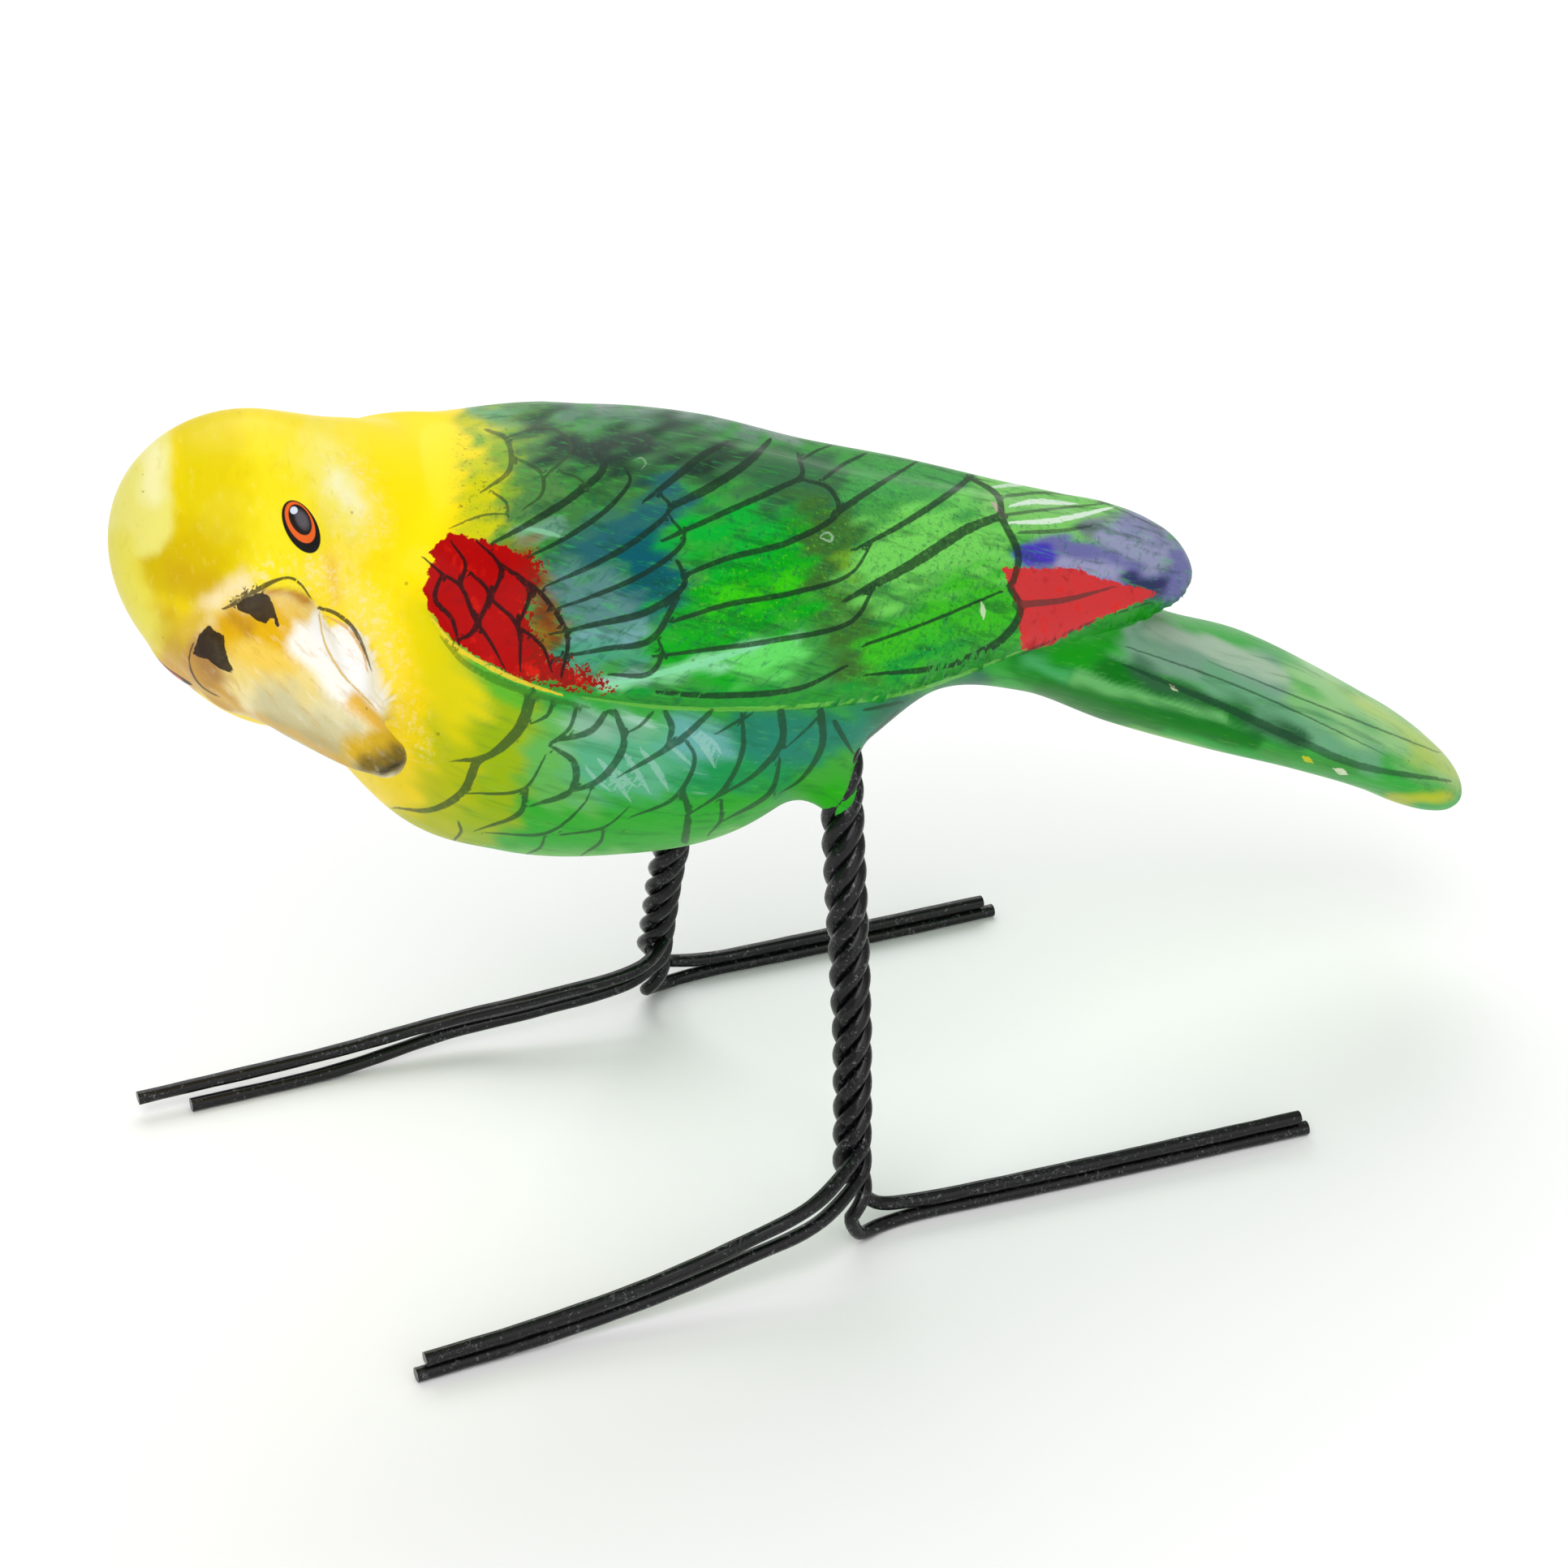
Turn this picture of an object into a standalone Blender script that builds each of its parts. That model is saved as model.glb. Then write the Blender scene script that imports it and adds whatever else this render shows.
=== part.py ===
"""A hand-painted ceramic parrot that stands on two legs of twisted wire.

The bird is one fired piece: head, beak, wings, tail and two short thigh stubs with sockets. Each leg is
four wires twisted together. Two of them run forward as toes and two run back. +X is towards the tail, -Y
is the bird's left side, +Z is up, and the origin is on the floor under the middle of the whole figurine.

The carving is worked out in its own unit, a share of the body's length, from a measure called clay: how
far a point lies outside the surface. Rough balls are fused, and their skin is then drawn onto the surface
where clay is nought.
"""

import math

import bmesh
import bpy
import numpy as np
from mathutils import Matrix, Vector

MM = 0.001

# Driving sizes
BODY_LENGTH = 136 * MM       # crown to tail tip
LEG_HEIGHT = 41.5 * MM       # floor to the mouths of the thigh stubs
STANCE = 45.4 * MM           # between the two ankles
WIRE = 1.4 * MM              # diameter of one leg wire
STRAND_GAP = 0.2 * MM        # left between neighbouring wires
TWIST_PITCH = 9.75 * MM      # rise of one full turn of a wire
TWIST_FOOT = 9.0 * MM        # height where the first wire leaves the twist
SOCKET_DEPTH = 5.0 * MM      # how far the wires reach into a stub
SOCKET_GAP = 0.3 * MM        # left between the wires and the socket round and above them
TOE_REACH = 44.0 * MM        # ankle to the end of a typical toe
FOOT_FLAT = 0.08 * MM        # how much of a wire is flattened where it stands on the floor

# The carving unit: the body is 136 of these long
U = BODY_LENGTH / 136
BODY_TRIANGLES = 4300
SKIN_CELL = 0.75             # cell of the fused skin, in carving units

# Along the body: place, middle height, half height, half width
TORSO = np.array([
    (-44.0, 65.8, 11.8, 11.2),
    (-37.0, 61.2, 17.4, 16.2),
    (-29.0, 57.7, 18.8, 17.6),
    (-19.0, 55.4, 19.3, 18.4),
    (-8.0, 53.6, 17.8, 18.0),
    (3.0, 53.4, 12.4, 15.4),
    (13.0, 53.2, 8.0, 11.8),
    (23.0, 49.7, 6.8, 11.2),
    (33.0, 44.2, 7.1, 10.6),
    (43.0, 38.2, 6.0, 10.1),
    (53.0, 33.6, 5.7, 11.3),
    (62.0, 28.3, 5.0, 10.8),
    (69.0, 23.8, 4.1, 7.6),
    (74.0, 20.8, 2.5, 3.6),
    (76.6, 19.5, 1.0, 1.2),
])
WINGS = np.array([
    (-40.0, 62.2, 13.2, 13.2),
    (-32.0, 59.4, 16.2, 16.8),
    (-24.0, 58.2, 18.3, 19.0),
    (-14.0, 56.0, 19.5, 19.7),
    (-4.0, 54.0, 18.8, 19.3),
    (6.0, 52.0, 16.6, 17.8),
    (16.0, 51.0, 14.0, 15.0),
    (26.0, 50.2, 10.9, 11.4),
    (34.0, 49.6, 8.1, 7.8),
    (40.0, 49.2, 4.8, 4.4),
])
# Side view of a wing: place and height of its lower edge, height and place of its front edge
WING_LOWER_EDGE = np.array([
    (-38.0, 72.5), (-36.2, 68.0), (-32.8, 64.1), (-26.4, 60.8), (-16.0, 57.5), (-4.2, 54.3),
    (4.3, 52.6), (13.3, 51.2), (19.0, 51.5), (28.0, 51.8), (36.0, 51.8), (46.0, 51.0),
])
WING_FRONT_EDGE = np.array([(60.0, -36.6), (72.0, -36.0), (76.0, -31.5), (79.0, -26.0), (84.0, -20.0)])
WING_LIP = 1.2               # radius of the fillet under a wing
BACK_GROOVE = (-12.0, 40.0, 0.9, 3.0)   # start, end, depth and half width of the groove between the wings

# The head: a ball that is turned to the bird's left, bent down and tilted
HEAD_MIDDLE = np.array((-48.3, -3.0, 71.6))
HEAD_RADIUS = 11.3
RIGHT_CHEEK = 1.17           # how much flatter than the left cheek the right one is
HEAD_YAW, HEAD_PITCH, HEAD_ROLL = (math.radians(a) for a in (53.8, -12.8, 52.3))
NECK_BLEND = 6.0
# Down the upper beak from the head's middle: depth down, place forward, half depth, half width
UPPER_BEAK = np.array([
    (-2.0, 6.6, 4.0, 4.6), (2.0, 8.4, 4.4, 6.5), (5.2, 8.9, 4.2, 6.8), (7.4, 9.2, 3.8, 5.6),
    (10.6, 10.3, 3.1, 4.3), (12.7, 11.0, 2.7, 3.4), (15.7, 11.6, 2.2, 2.3), (17.6, 11.6, 1.7, 1.7),
])
LOWER_BEAK = np.array([
    (6.5, 6.2, 3.6, 4.2), (9.0, 6.9, 4.0, 5.0), (12.3, 8.5, 3.2, 4.4), (14.2, 9.4, 2.2, 2.4),
])
BEAK_BLEND = 0.7
EYE = dict(forward=5.6, side=8.9, up=3.1, radius=2.6, rise=0.5)

# The thigh stubs, mirrored left and right: top inside the body, mouth, and their radii
STUB_TOP = np.array((0.6, 10.4, 48.5))
STUB_MOUTH = np.array((1.0, 13.4, 41.5))
STUB_TOP_RADIUS = 4.8
STUB_BLEND = 1.8
STUB_WALL = 0.75 * MM        # ceramic left round a socket at the mouth


# The two legs: side, place of the ankle along the bird, bow of the leg
LEGS = {"left": (-1, -2.0 * MM, 0.4 * MM), "right": (1, -3.6 * MM, -1.0 * MM)}
# The four wires of each leg in the order in which they leave the twist. Each has its name, the height in mm
# where it leaves, whether it lies on top of the other wire of its toe, and its way along the toe: a share of
# the toe's reach, and in mm its place beside the ankle and its height over where it lies at last.
WIRES = {
    "left": [
        ("front_upper", 9.8, True, [
            (-0.15, -1.9, 5.6), (-0.32, -2.2, 3.6), (-0.55, -2.0, 1.6), (-0.77, -1.7, 0.5),
            (-1.00, -1.5, 0)]),
        ("front_lower", 7.2, False, [
            (-0.14, -1.7, 4.6), (-0.32, -1.9, 2.9), (-0.55, -1.8, 1.2), (-0.77, -1.6, 0.3),
            (-1.02, -1.5, 0)]),
        ("back_lower", 3.3, False, [
            (-0.03, 0.2, 0.6), (0.03, 1.2, 0), (0.11, 1.4, 0), (0.27, 0.8, 0), (0.64, -0.6, 0),
            (1.03, -1.9, 0)]),
        ("back_upper", 5.5, True, [
            (0.03, 2.1, 0.6), (0.12, 1.6, 0), (0.27, 0.8, 0), (0.64, -0.6, 0), (1.01, -1.8, 0)]),
    ],
    "right": [
        ("front_upper", 9.8, True, [
            (-0.13, -5.1, 6.2), (-0.36, -2.9, 3.9), (-0.55, 0.1, 1.9), (-0.82, 1.5, 0.5),
            (-1.26, 2.4, 0)]),
        ("front_lower", 7.2, False, [
            (-0.14, -3.2, 4.8), (-0.36, -1.6, 3.0), (-0.55, 0.4, 1.6), (-0.82, 0.7, 0.2),
            (-1.15, 1.2, 0)]),
        ("back_lower", 3.3, False, [
            (-0.06, 0.9, 0.7), (0.00, 2.2, 0), (0.09, 2.4, 0), (0.27, 1.9, 0), (0.55, 1.2, 0),
            (0.83, 0.7, 0)]),
        ("back_upper", 5.5, True, [
            (0.01, 2.9, 0.6), (0.10, 2.5, 0), (0.27, 1.9, 0), (0.55, 1.2, 0), (0.80, 0.7, 0)]),
    ],
}
POINTS_PER_TURN = 7
TOE_STEP = 4.5 * MM          # between the points of a wire along its toe


def twist_radius(spacing, pitch):
    """The smallest radius at which four wires can twist round each other that far apart."""
    turns = np.linspace(0, math.pi / 2, 91)
    radius = spacing / math.sqrt(2)
    along, half_angle = pitch * turns / math.tau, (math.pi / 2 - turns) / 2
    while np.hypot(2 * radius * np.sin(half_angle), along).min() < spacing:
        radius *= 1.005
    return radius


# Measures that the pieces share
STRAND_SPACING = WIRE + STRAND_GAP
TWIST_RADIUS = twist_radius(STRAND_SPACING, TWIST_PITCH)
BUNDLE_RADIUS = TWIST_RADIUS + WIRE / 2
SOCKET_RADIUS = BUNDLE_RADIUS + SOCKET_GAP
BODY_LIFT = LEG_HEIGHT - STUB_MOUTH[2] * U
FLOOR_LEVEL = WIRE / 2 - FOOT_FLAT       # height of a wire's middle where it stands on the floor


def through(table, at, column=1):
    """A smooth curve through the rows of a table, read at the places given."""
    knots, values = table[:, 0], table[:, column]
    slopes = np.gradient(values, knots)
    at = np.clip(at, knots[0], knots[-1])
    i = np.clip(np.searchsorted(knots, at) - 1, 0, len(knots) - 2)
    span = knots[i + 1] - knots[i]
    t = (at - knots[i]) / span
    rest = 1 - t
    return (values[i] * rest**2 * (1 + 2 * t) + values[i + 1] * t**2 * (3 - 2 * t)
            + span * t * rest * (slopes[i] * rest - slopes[i + 1] * t))


def fuse(a, b, blend):
    """The union of two forms with a fillet of about that size."""
    h = np.clip(0.5 + 0.5 * (b - a) / blend, 0, 1)
    return b * (1 - h) + a * h - blend * h * (1 - h)


def keep(a, b, blend):
    """What two forms have in common, with a rounded edge."""
    return -fuse(-a, -b, blend)


def swept(along, across, up, table):
    """An oval that changes along one way by the rows of a table, with round ends."""
    middle, half_up, half_across = (through(table, along, c) for c in (1, 2, 3))
    size = np.minimum(half_up, half_across)
    side = (np.hypot((up - middle) / half_up, across / half_across) - 1) * size
    past = np.maximum(table[0, 0] - along, 0) + np.maximum(along - table[-1, 0], 0)
    return np.where(past > 0, np.hypot(np.maximum(side + size, 0), past) - size, side)


def cone(p, a, b, radius_a, radius_b):
    """A cone with round ends between two points."""
    along = b - a
    t = np.clip((p - a) @ along / (along @ along), 0, 1)
    return np.linalg.norm(p - a - t[:, None] * along, axis=1) - (radius_a + (radius_b - radius_a) * t)


def head_axes():
    """Forward, left and up of the turned head."""
    forward = np.array((
        -math.cos(HEAD_YAW) * math.cos(HEAD_PITCH),
        -math.sin(HEAD_YAW) * math.cos(HEAD_PITCH),
        math.sin(HEAD_PITCH),
    ))
    level_left = np.cross((0, 0, 1), forward) / math.cos(HEAD_PITCH)
    level_up = np.cross(forward, level_left)
    left = level_left * math.cos(HEAD_ROLL) + level_up * math.sin(HEAD_ROLL)
    return forward, left, np.cross(forward, left)


def head_form(p):
    """The head ball with its eye swellings, and the beak on it."""
    forward, left, up = ((p - HEAD_MIDDLE) @ axis for axis in head_axes())
    cheek = np.where(left < 0, RIGHT_CHEEK, 1.0) * left
    ball = np.sqrt(forward**2 + cheek**2 + up**2) - HEAD_RADIUS
    from_eye = np.stack([forward - EYE["forward"], np.abs(left) - EYE["side"], up - EYE["up"]])
    ball = ball - EYE["rise"] * np.clip(1 - (from_eye**2).sum(0) / EYE["radius"]**2, 0, 1)
    upper = swept(-up, left, forward, UPPER_BEAK)
    lower = swept(-up, left, forward, LOWER_BEAK)
    return ball, fuse(upper, lower, BEAK_BLEND / 2)


def wing_form(x, y, z):
    """Both folded wings as one mantle that ends at the wings' front and lower edges."""
    mantle = swept(x, y, z, WINGS)
    start, end, depth, half_width = BACK_GROOVE
    run = np.clip((x - start) / 8, 0, 1) * np.clip((end - x) / 8, 0, 1)
    mantle = mantle + depth * run * np.exp(-(y / half_width)**2)
    mantle = keep(mantle, (through(WING_LOWER_EDGE, x) - z) * 0.8, WING_LIP)
    return keep(mantle, (through(WING_FRONT_EDGE, z) - x) * 0.8, 2 * WING_LIP)


def clay(p):
    """How far each point lies outside the bird, in carving units."""
    x, y, z = p[:, 0], np.abs(p[:, 1]), p[:, 2]
    ball, beak = head_form(p)
    bird = fuse(swept(x, y, z, TORSO), ball, NECK_BLEND)
    shoulder = np.clip((z - 68) / 6, 0, 1) * np.clip((-10 - x) / 8, 0, 1)
    rump = np.clip((x - 18) / 10, 0, 1)
    bird = fuse(bird, wing_form(x, y, z), WING_LIP + 3 * shoulder + 1.5 * rump)
    bird = fuse(bird, beak, BEAK_BLEND)
    mouth_radius = (SOCKET_RADIUS + STUB_WALL) / U
    stub = cone(np.stack([x, y, z], 1), STUB_TOP, STUB_MOUTH, STUB_TOP_RADIUS, mouth_radius)
    return fuse(bird, stub, STUB_BLEND)


def slope_of_clay(p, step=0.02):
    """The outward slope of the clay measure at each point."""
    return np.stack([clay(p + axis * step) - clay(p - axis * step) for axis in np.eye(3)], 1) / (2 * step)


def material(name, colour, roughness, coat=0.0):
    """A Principled BSDF with the colour and gloss of one finish."""
    finish = bpy.data.materials.new(name)
    finish.use_nodes = True
    shader = finish.node_tree.nodes["Principled BSDF"]
    shader.inputs["Base Color"].default_value = (*colour, 1)
    shader.inputs["Roughness"].default_value = roughness
    shader.inputs["Metallic"].default_value = 0.0
    shader.inputs["Coat Weight"].default_value = coat
    finish.diffuse_color = (*colour, 1)
    return finish


def collection(name):
    group = bpy.data.collections.new(name)
    bpy.context.scene.collection.children.link(group)
    return group


def object_from_bmesh(name, bm, group):
    mesh = bpy.data.meshes.new(name)
    bm.to_mesh(mesh)
    bm.free()
    thing = bpy.data.objects.new(name, mesh)
    group.objects.link(thing)
    return thing


def evaluated_mesh(thing):
    """A mesh of the object with its modifiers applied, in the object's own space."""
    bpy.context.view_layer.update()
    return bpy.data.meshes.new_from_object(thing.evaluated_get(bpy.context.evaluated_depsgraph_get()))


def apply_modifiers(thing):
    old, thing.data = thing.data, evaluated_mesh(thing)
    thing.modifiers.clear()
    bpy.data.meshes.remove(old)


def rough_bird():
    """Overlapping balls of clay that fill the bird nearly to its surface."""
    round_lump = bmesh.new()
    bmesh.ops.create_uvsphere(round_lump, u_segments=24, v_segments=16, radius=1)
    lump = bpy.data.meshes.new("lump")
    round_lump.to_mesh(lump)
    round_lump.free()
    bm = bmesh.new()

    def ball(middle, radii):
        shaped = lump.copy()
        shaped.transform(Matrix.LocRotScale(middle, None, radii))
        bm.from_mesh(shaped)
        bpy.data.meshes.remove(shaped)

    for x in np.arange(-44, 74, 2.5):
        middle, half_up, half_across = (float(through(TORSO, x, c)) for c in (1, 2, 3))
        ball((x, 0, middle), (2.5 + half_up / 2, half_across, half_up))
    for x in np.arange(-30, 41, 2.5):
        middle, half_up, half_across = (float(through(WINGS, x, c)) for c in (1, 2, 3))
        ball((x, 0, middle + half_up / 2), (4, half_across * 0.85, half_up / 2))
    forward, left, up = head_axes()
    ball(HEAD_MIDDLE, (HEAD_RADIUS,) * 3)
    for table in (UPPER_BEAK, LOWER_BEAK):
        for down in np.arange(table[0, 0], table[-1, 0] + 0.5, 1.0):
            ahead, half_depth, half_width = (float(through(table, down, c)) for c in (1, 2, 3))
            for share in (-0.5, 0.0, 0.5):
                side = share * (half_width - half_depth * 0.8)
                ball(HEAD_MIDDLE + ahead * forward - down * up + side * left, (half_depth,) * 3)
    for side in (-1, 1):
        for t in np.linspace(0, 1, 6):
            middle = (STUB_TOP + (STUB_MOUTH - STUB_TOP) * t) * (1, side, 1)
            ball(middle, (STUB_TOP_RADIUS * (1 - t / 2),) * 3)
    bpy.data.meshes.remove(lump)
    return bm


def draw_onto_clay(mesh, rounds):
    """Moves each vertex along the slope until it lies where clay is nought."""
    points = np.empty(len(mesh.vertices) * 3)
    mesh.vertices.foreach_get("co", points)
    points = points.reshape(-1, 3)
    for _ in range(rounds):
        slope = slope_of_clay(points)
        steep = np.maximum((slope**2).sum(1), 0.05)
        points = points - slope * np.clip(clay(points) / steep, -0.8, 0.8)[:, None]
    mesh.vertices.foreach_set("co", points.ravel())
    mesh.update()


def leg_point(leg, height):
    """The middle of a leg at a height over the floor."""
    side, ankle_x, bow = LEGS[leg]
    t = height / LEG_HEIGHT
    mouth_x, mouth_y = STUB_MOUTH[0] * U, STUB_MOUTH[1] * U
    x = ankle_x + (mouth_x - ankle_x) * t + bow * math.sin(math.pi * min(t, 1))**2
    return Vector((x, side * (STANCE / 2 + (mouth_y - STANCE / 2) * t), height))


def twist_point(leg, order, height):
    """A point of one wire in the twist. The wires follow each other a quarter of a turn apart."""
    turn = math.tau * ((height - TWIST_FOOT) / TWIST_PITCH + order / 4) - math.pi / 2
    along = (leg_point(leg, height + MM) - leg_point(leg, height - MM)).normalized()
    ahead = (Vector((1, 0, 0)) - along * along.x).normalized()
    offset = math.cos(turn) * ahead + math.sin(turn) * along.cross(ahead)
    return leg_point(leg, height) + TWIST_RADIUS * offset


def smooth_path(points, steps):
    """Points along a smooth curve through the given ones, with so many steps after each."""
    points = np.array(points)
    knots = np.concatenate([[0], np.cumsum(np.sqrt(np.linalg.norm(np.diff(points, axis=0), axis=1)))])
    at = np.concatenate([np.linspace(a, b, n, endpoint=False) for a, b, n in zip(knots, knots[1:], steps)])
    at = np.append(at, knots[-1])
    return np.stack([through(np.stack([knots, points[:, axis]], 1), at) for axis in range(3)], 1)


def wire_path(leg, order):
    """A wire's way from its socket down the twist and out along its toe."""
    _, leaves, on_top, toe = WIRES[leg][order]
    socket_end = LEG_HEIGHT + SOCKET_DEPTH
    turns = (socket_end - leaves * MM) / TWIST_PITCH
    heights = np.linspace(socket_end, leaves * MM, round(turns * POINTS_PER_TURN) + 1)
    points = [twist_point(leg, order, height) for height in heights]
    twist_steps = len(points) - 1
    lies_at = FLOOR_LEVEL + (STRAND_SPACING if on_top else 0)
    ankle_y = leg_point(leg, 0).y
    for share, beside, lift in toe:
        points.append(Vector((share * TOE_REACH, ankle_y + beside * MM, lies_at + lift * MM)))
    gaps = [(b - a).length for a, b in zip(points[twist_steps:], points[twist_steps + 1:])]
    return smooth_path(points, [1] * twist_steps + [max(2, round(gap / TOE_STEP)) for gap in gaps])


def make_wire(leg, order, finish, group):
    """One leg wire: a round wire along its path, with a narrow flat where it stands."""
    name = f"{leg}_{WIRES[leg][order][0]}_wire"
    path = wire_path(leg, order)
    route = bpy.data.curves.new(name, "CURVE")
    route.dimensions = "3D"
    route.bevel_depth = WIRE / 2
    route.bevel_resolution = 2
    route.use_fill_caps = True
    spline = route.splines.new("POLY")
    spline.points.add(len(path) - 1)
    spline.points.foreach_set("co", np.column_stack([path, np.ones(len(path))]).ravel())
    guide = bpy.data.objects.new(name + "_route", route)
    group.objects.link(guide)
    bm = bmesh.new()
    bm.from_mesh(evaluated_mesh(guide))
    bmesh.ops.remove_doubles(bm, verts=bm.verts, dist=0.01 * MM)
    bpy.data.objects.remove(guide)
    bmesh.ops.bisect_plane(
        bm, geom=bm.verts[:] + bm.edges[:] + bm.faces[:],
        plane_co=(0, 0, 0), plane_no=(0, 0, -1), clear_outer=True)
    bmesh.ops.holes_fill(bm, edges=[edge for edge in bm.edges if edge.is_boundary])
    bmesh.ops.recalc_face_normals(bm, faces=bm.faces)
    wire = object_from_bmesh(name, bm, group)
    wire.data.materials.append(finish)
    wire.data.shade_smooth()
    wire.data.set_sharp_from_angle(angle=math.radians(50))
    return wire


def socket_cutter(leg, group):
    """The round hole that a leg's twisted wires are cemented into."""
    mouth = leg_point(leg, LEG_HEIGHT)
    into = leg_point(leg, LEG_HEIGHT + SOCKET_DEPTH + WIRE / 2 + SOCKET_GAP)
    start = mouth - (into - mouth)
    bm = bmesh.new()
    bmesh.ops.create_cone(
        bm, cap_ends=True, segments=24, radius1=SOCKET_RADIUS, radius2=SOCKET_RADIUS,
        depth=(into - start).length)
    cutter = object_from_bmesh(f"{leg}_socket_cutter", bm, group)
    cutter.rotation_euler = (into - start).to_track_quat("Z", "Y").to_euler()
    cutter.location = (start + into) / 2
    cutter.hide_render = True
    cutter.display_type = "WIRE"
    return cutter


def make_body(parts, cutters):
    """The fired bird: fused, drawn onto the clay surface, thinned to few faces and bored for the legs."""
    bird = object_from_bmesh("ceramic_bird", rough_bird(), parts)
    for _ in range(2):
        fused = bird.modifiers.new("fused skin", "REMESH")
        fused.mode = "VOXEL"
        fused.voxel_size = SKIN_CELL
        apply_modifiers(bird)
        draw_onto_clay(bird.data, rounds=10)
    relaxed = bird.modifiers.new("even cells", "SMOOTH")
    relaxed.factor = 0.5
    relaxed.iterations = 2
    apply_modifiers(bird)
    draw_onto_clay(bird.data, rounds=4)
    thinned = bird.modifiers.new("few faces", "DECIMATE")
    thinned.ratio = BODY_TRIANGLES / sum(len(face.vertices) - 2 for face in bird.data.polygons)
    apply_modifiers(bird)
    for vertex in bird.data.vertices:
        vertex.co = vertex.co * U + Vector((0, 0, BODY_LIFT))
    for leg in LEGS:
        cut = bird.modifiers.new(f"{leg} leg socket", "BOOLEAN")
        cut.operation = "DIFFERENCE"
        cut.object = socket_cutter(leg, cutters)
    bird.data.materials.append(material("painted ceramic", (0.10, 0.42, 0.08), 0.22, coat=0.6))
    bird.data.shade_smooth()
    return bird


def stand_over_origin(parts):
    """Moves every piece so that the origin is on the floor under the middle of the whole figurine."""
    bpy.context.view_layer.update()
    corners = np.array([thing.matrix_world @ Vector(c) for thing in parts for c in thing.bound_box])
    middle = (corners.min(0) + corners.max(0)) / 2
    base = bpy.data.objects.new("figurine", None)
    bpy.context.scene.collection.objects.link(base)
    for thing in parts:
        thing.parent = base
    base.location = (-middle[0], -middle[1], -corners.min(0)[2])


def main():
    for thing in list(bpy.data.objects):
        bpy.data.objects.remove(thing)
    parts = collection("ceramic parrot figurine")
    cutters = collection("cutters")
    make_body(parts, cutters)
    black = material("black wire paint", (0.02, 0.02, 0.022), 0.3, coat=0.3)
    for leg in LEGS:
        for order in range(4):
            make_wire(leg, order, black, parts)
    stand_over_origin(list(parts.objects) + list(cutters.objects))


main()
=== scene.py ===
# %% [markdown]
# # A painted ceramic parrot on legs of twisted wire
# The imported CAD model is the frame that everything is set in. This lesson carves a finer bird over the CAD
# bird, paints its feathers in brush strokes, lays a varnish on it, twists eight smooth wires for the legs
# and sets up a small photo studio.

import math

import bmesh
import bpy
import numpy as np
from mathutils import Matrix, Vector, kdtree
from mathutils.bvhtree import BVHTree


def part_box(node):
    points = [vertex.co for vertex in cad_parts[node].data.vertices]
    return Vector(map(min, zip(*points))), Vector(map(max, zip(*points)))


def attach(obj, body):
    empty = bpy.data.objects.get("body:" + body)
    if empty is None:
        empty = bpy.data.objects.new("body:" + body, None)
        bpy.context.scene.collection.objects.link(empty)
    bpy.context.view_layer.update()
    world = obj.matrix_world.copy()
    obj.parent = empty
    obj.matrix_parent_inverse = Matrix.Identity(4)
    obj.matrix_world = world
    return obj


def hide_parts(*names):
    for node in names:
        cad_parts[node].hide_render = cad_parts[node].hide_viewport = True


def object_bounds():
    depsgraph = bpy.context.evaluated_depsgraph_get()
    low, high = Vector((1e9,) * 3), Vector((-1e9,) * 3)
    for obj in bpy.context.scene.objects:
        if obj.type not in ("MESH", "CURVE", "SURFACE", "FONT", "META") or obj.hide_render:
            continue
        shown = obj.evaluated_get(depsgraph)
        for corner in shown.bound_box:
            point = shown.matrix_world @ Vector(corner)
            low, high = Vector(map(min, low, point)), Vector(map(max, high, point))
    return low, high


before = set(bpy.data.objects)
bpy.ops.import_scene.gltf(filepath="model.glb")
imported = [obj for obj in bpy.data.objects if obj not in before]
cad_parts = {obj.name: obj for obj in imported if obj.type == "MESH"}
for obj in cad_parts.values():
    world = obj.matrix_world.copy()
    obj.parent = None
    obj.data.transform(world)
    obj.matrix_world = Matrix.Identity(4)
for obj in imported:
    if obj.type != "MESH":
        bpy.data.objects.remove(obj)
CAD_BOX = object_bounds()
MM = 0.001
print("nodes", sorted(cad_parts))
print("CAD box in mm", [[round(c / MM, 2) for c in corner] for corner in CAD_BOX])

# %% [markdown]
# ## Curves and soft unions
# The potter shaped the bird as one lump, with soft hollows where the wings and the beak meet the body. In
# numbers, each form is a measure of how far a point lies outside it. Two forms are joined by a fillet when
# the smaller of their measures is taken smoothly. This keeps the whole bird one closed skin, which separate
# pieces pushed into each other wouldn't be.


# %% Curves and soft unions
def through(table, at, column=1):
    """A smooth curve through the rows of a table, read at the places given."""
    knots, values = table[:, 0], table[:, column]
    slopes = np.gradient(values, knots)
    at = np.clip(at, knots[0], knots[-1])
    i = np.clip(np.searchsorted(knots, at) - 1, 0, len(knots) - 2)
    span = knots[i + 1] - knots[i]
    t = (at - knots[i]) / span
    rest = 1 - t
    return (values[i] * rest**2 * (1 + 2 * t) + values[i + 1] * t**2 * (3 - 2 * t)
            + span * t * rest * (slopes[i] * rest - slopes[i + 1] * t))


def smooth_path(points, steps):
    """Points along a smooth curve through the given ones, with so many steps after each."""
    points = np.array(points, float)
    knots = np.concatenate([[0], np.cumsum(np.sqrt(np.linalg.norm(np.diff(points, axis=0), axis=1)))])
    at = np.concatenate([np.linspace(a, b, n, endpoint=False) for a, b, n in zip(knots, knots[1:], steps)])
    at = np.append(at, knots[-1])
    return np.stack([through(np.stack([knots, column], 1), at) for column in points.T], 1)


def fuse(a, b, blend):
    """The union of two forms with a fillet of about that size."""
    h = np.clip(0.5 + 0.5 * (b - a) / blend, 0, 1)
    return b * (1 - h) + a * h - blend * h * (1 - h)


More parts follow.
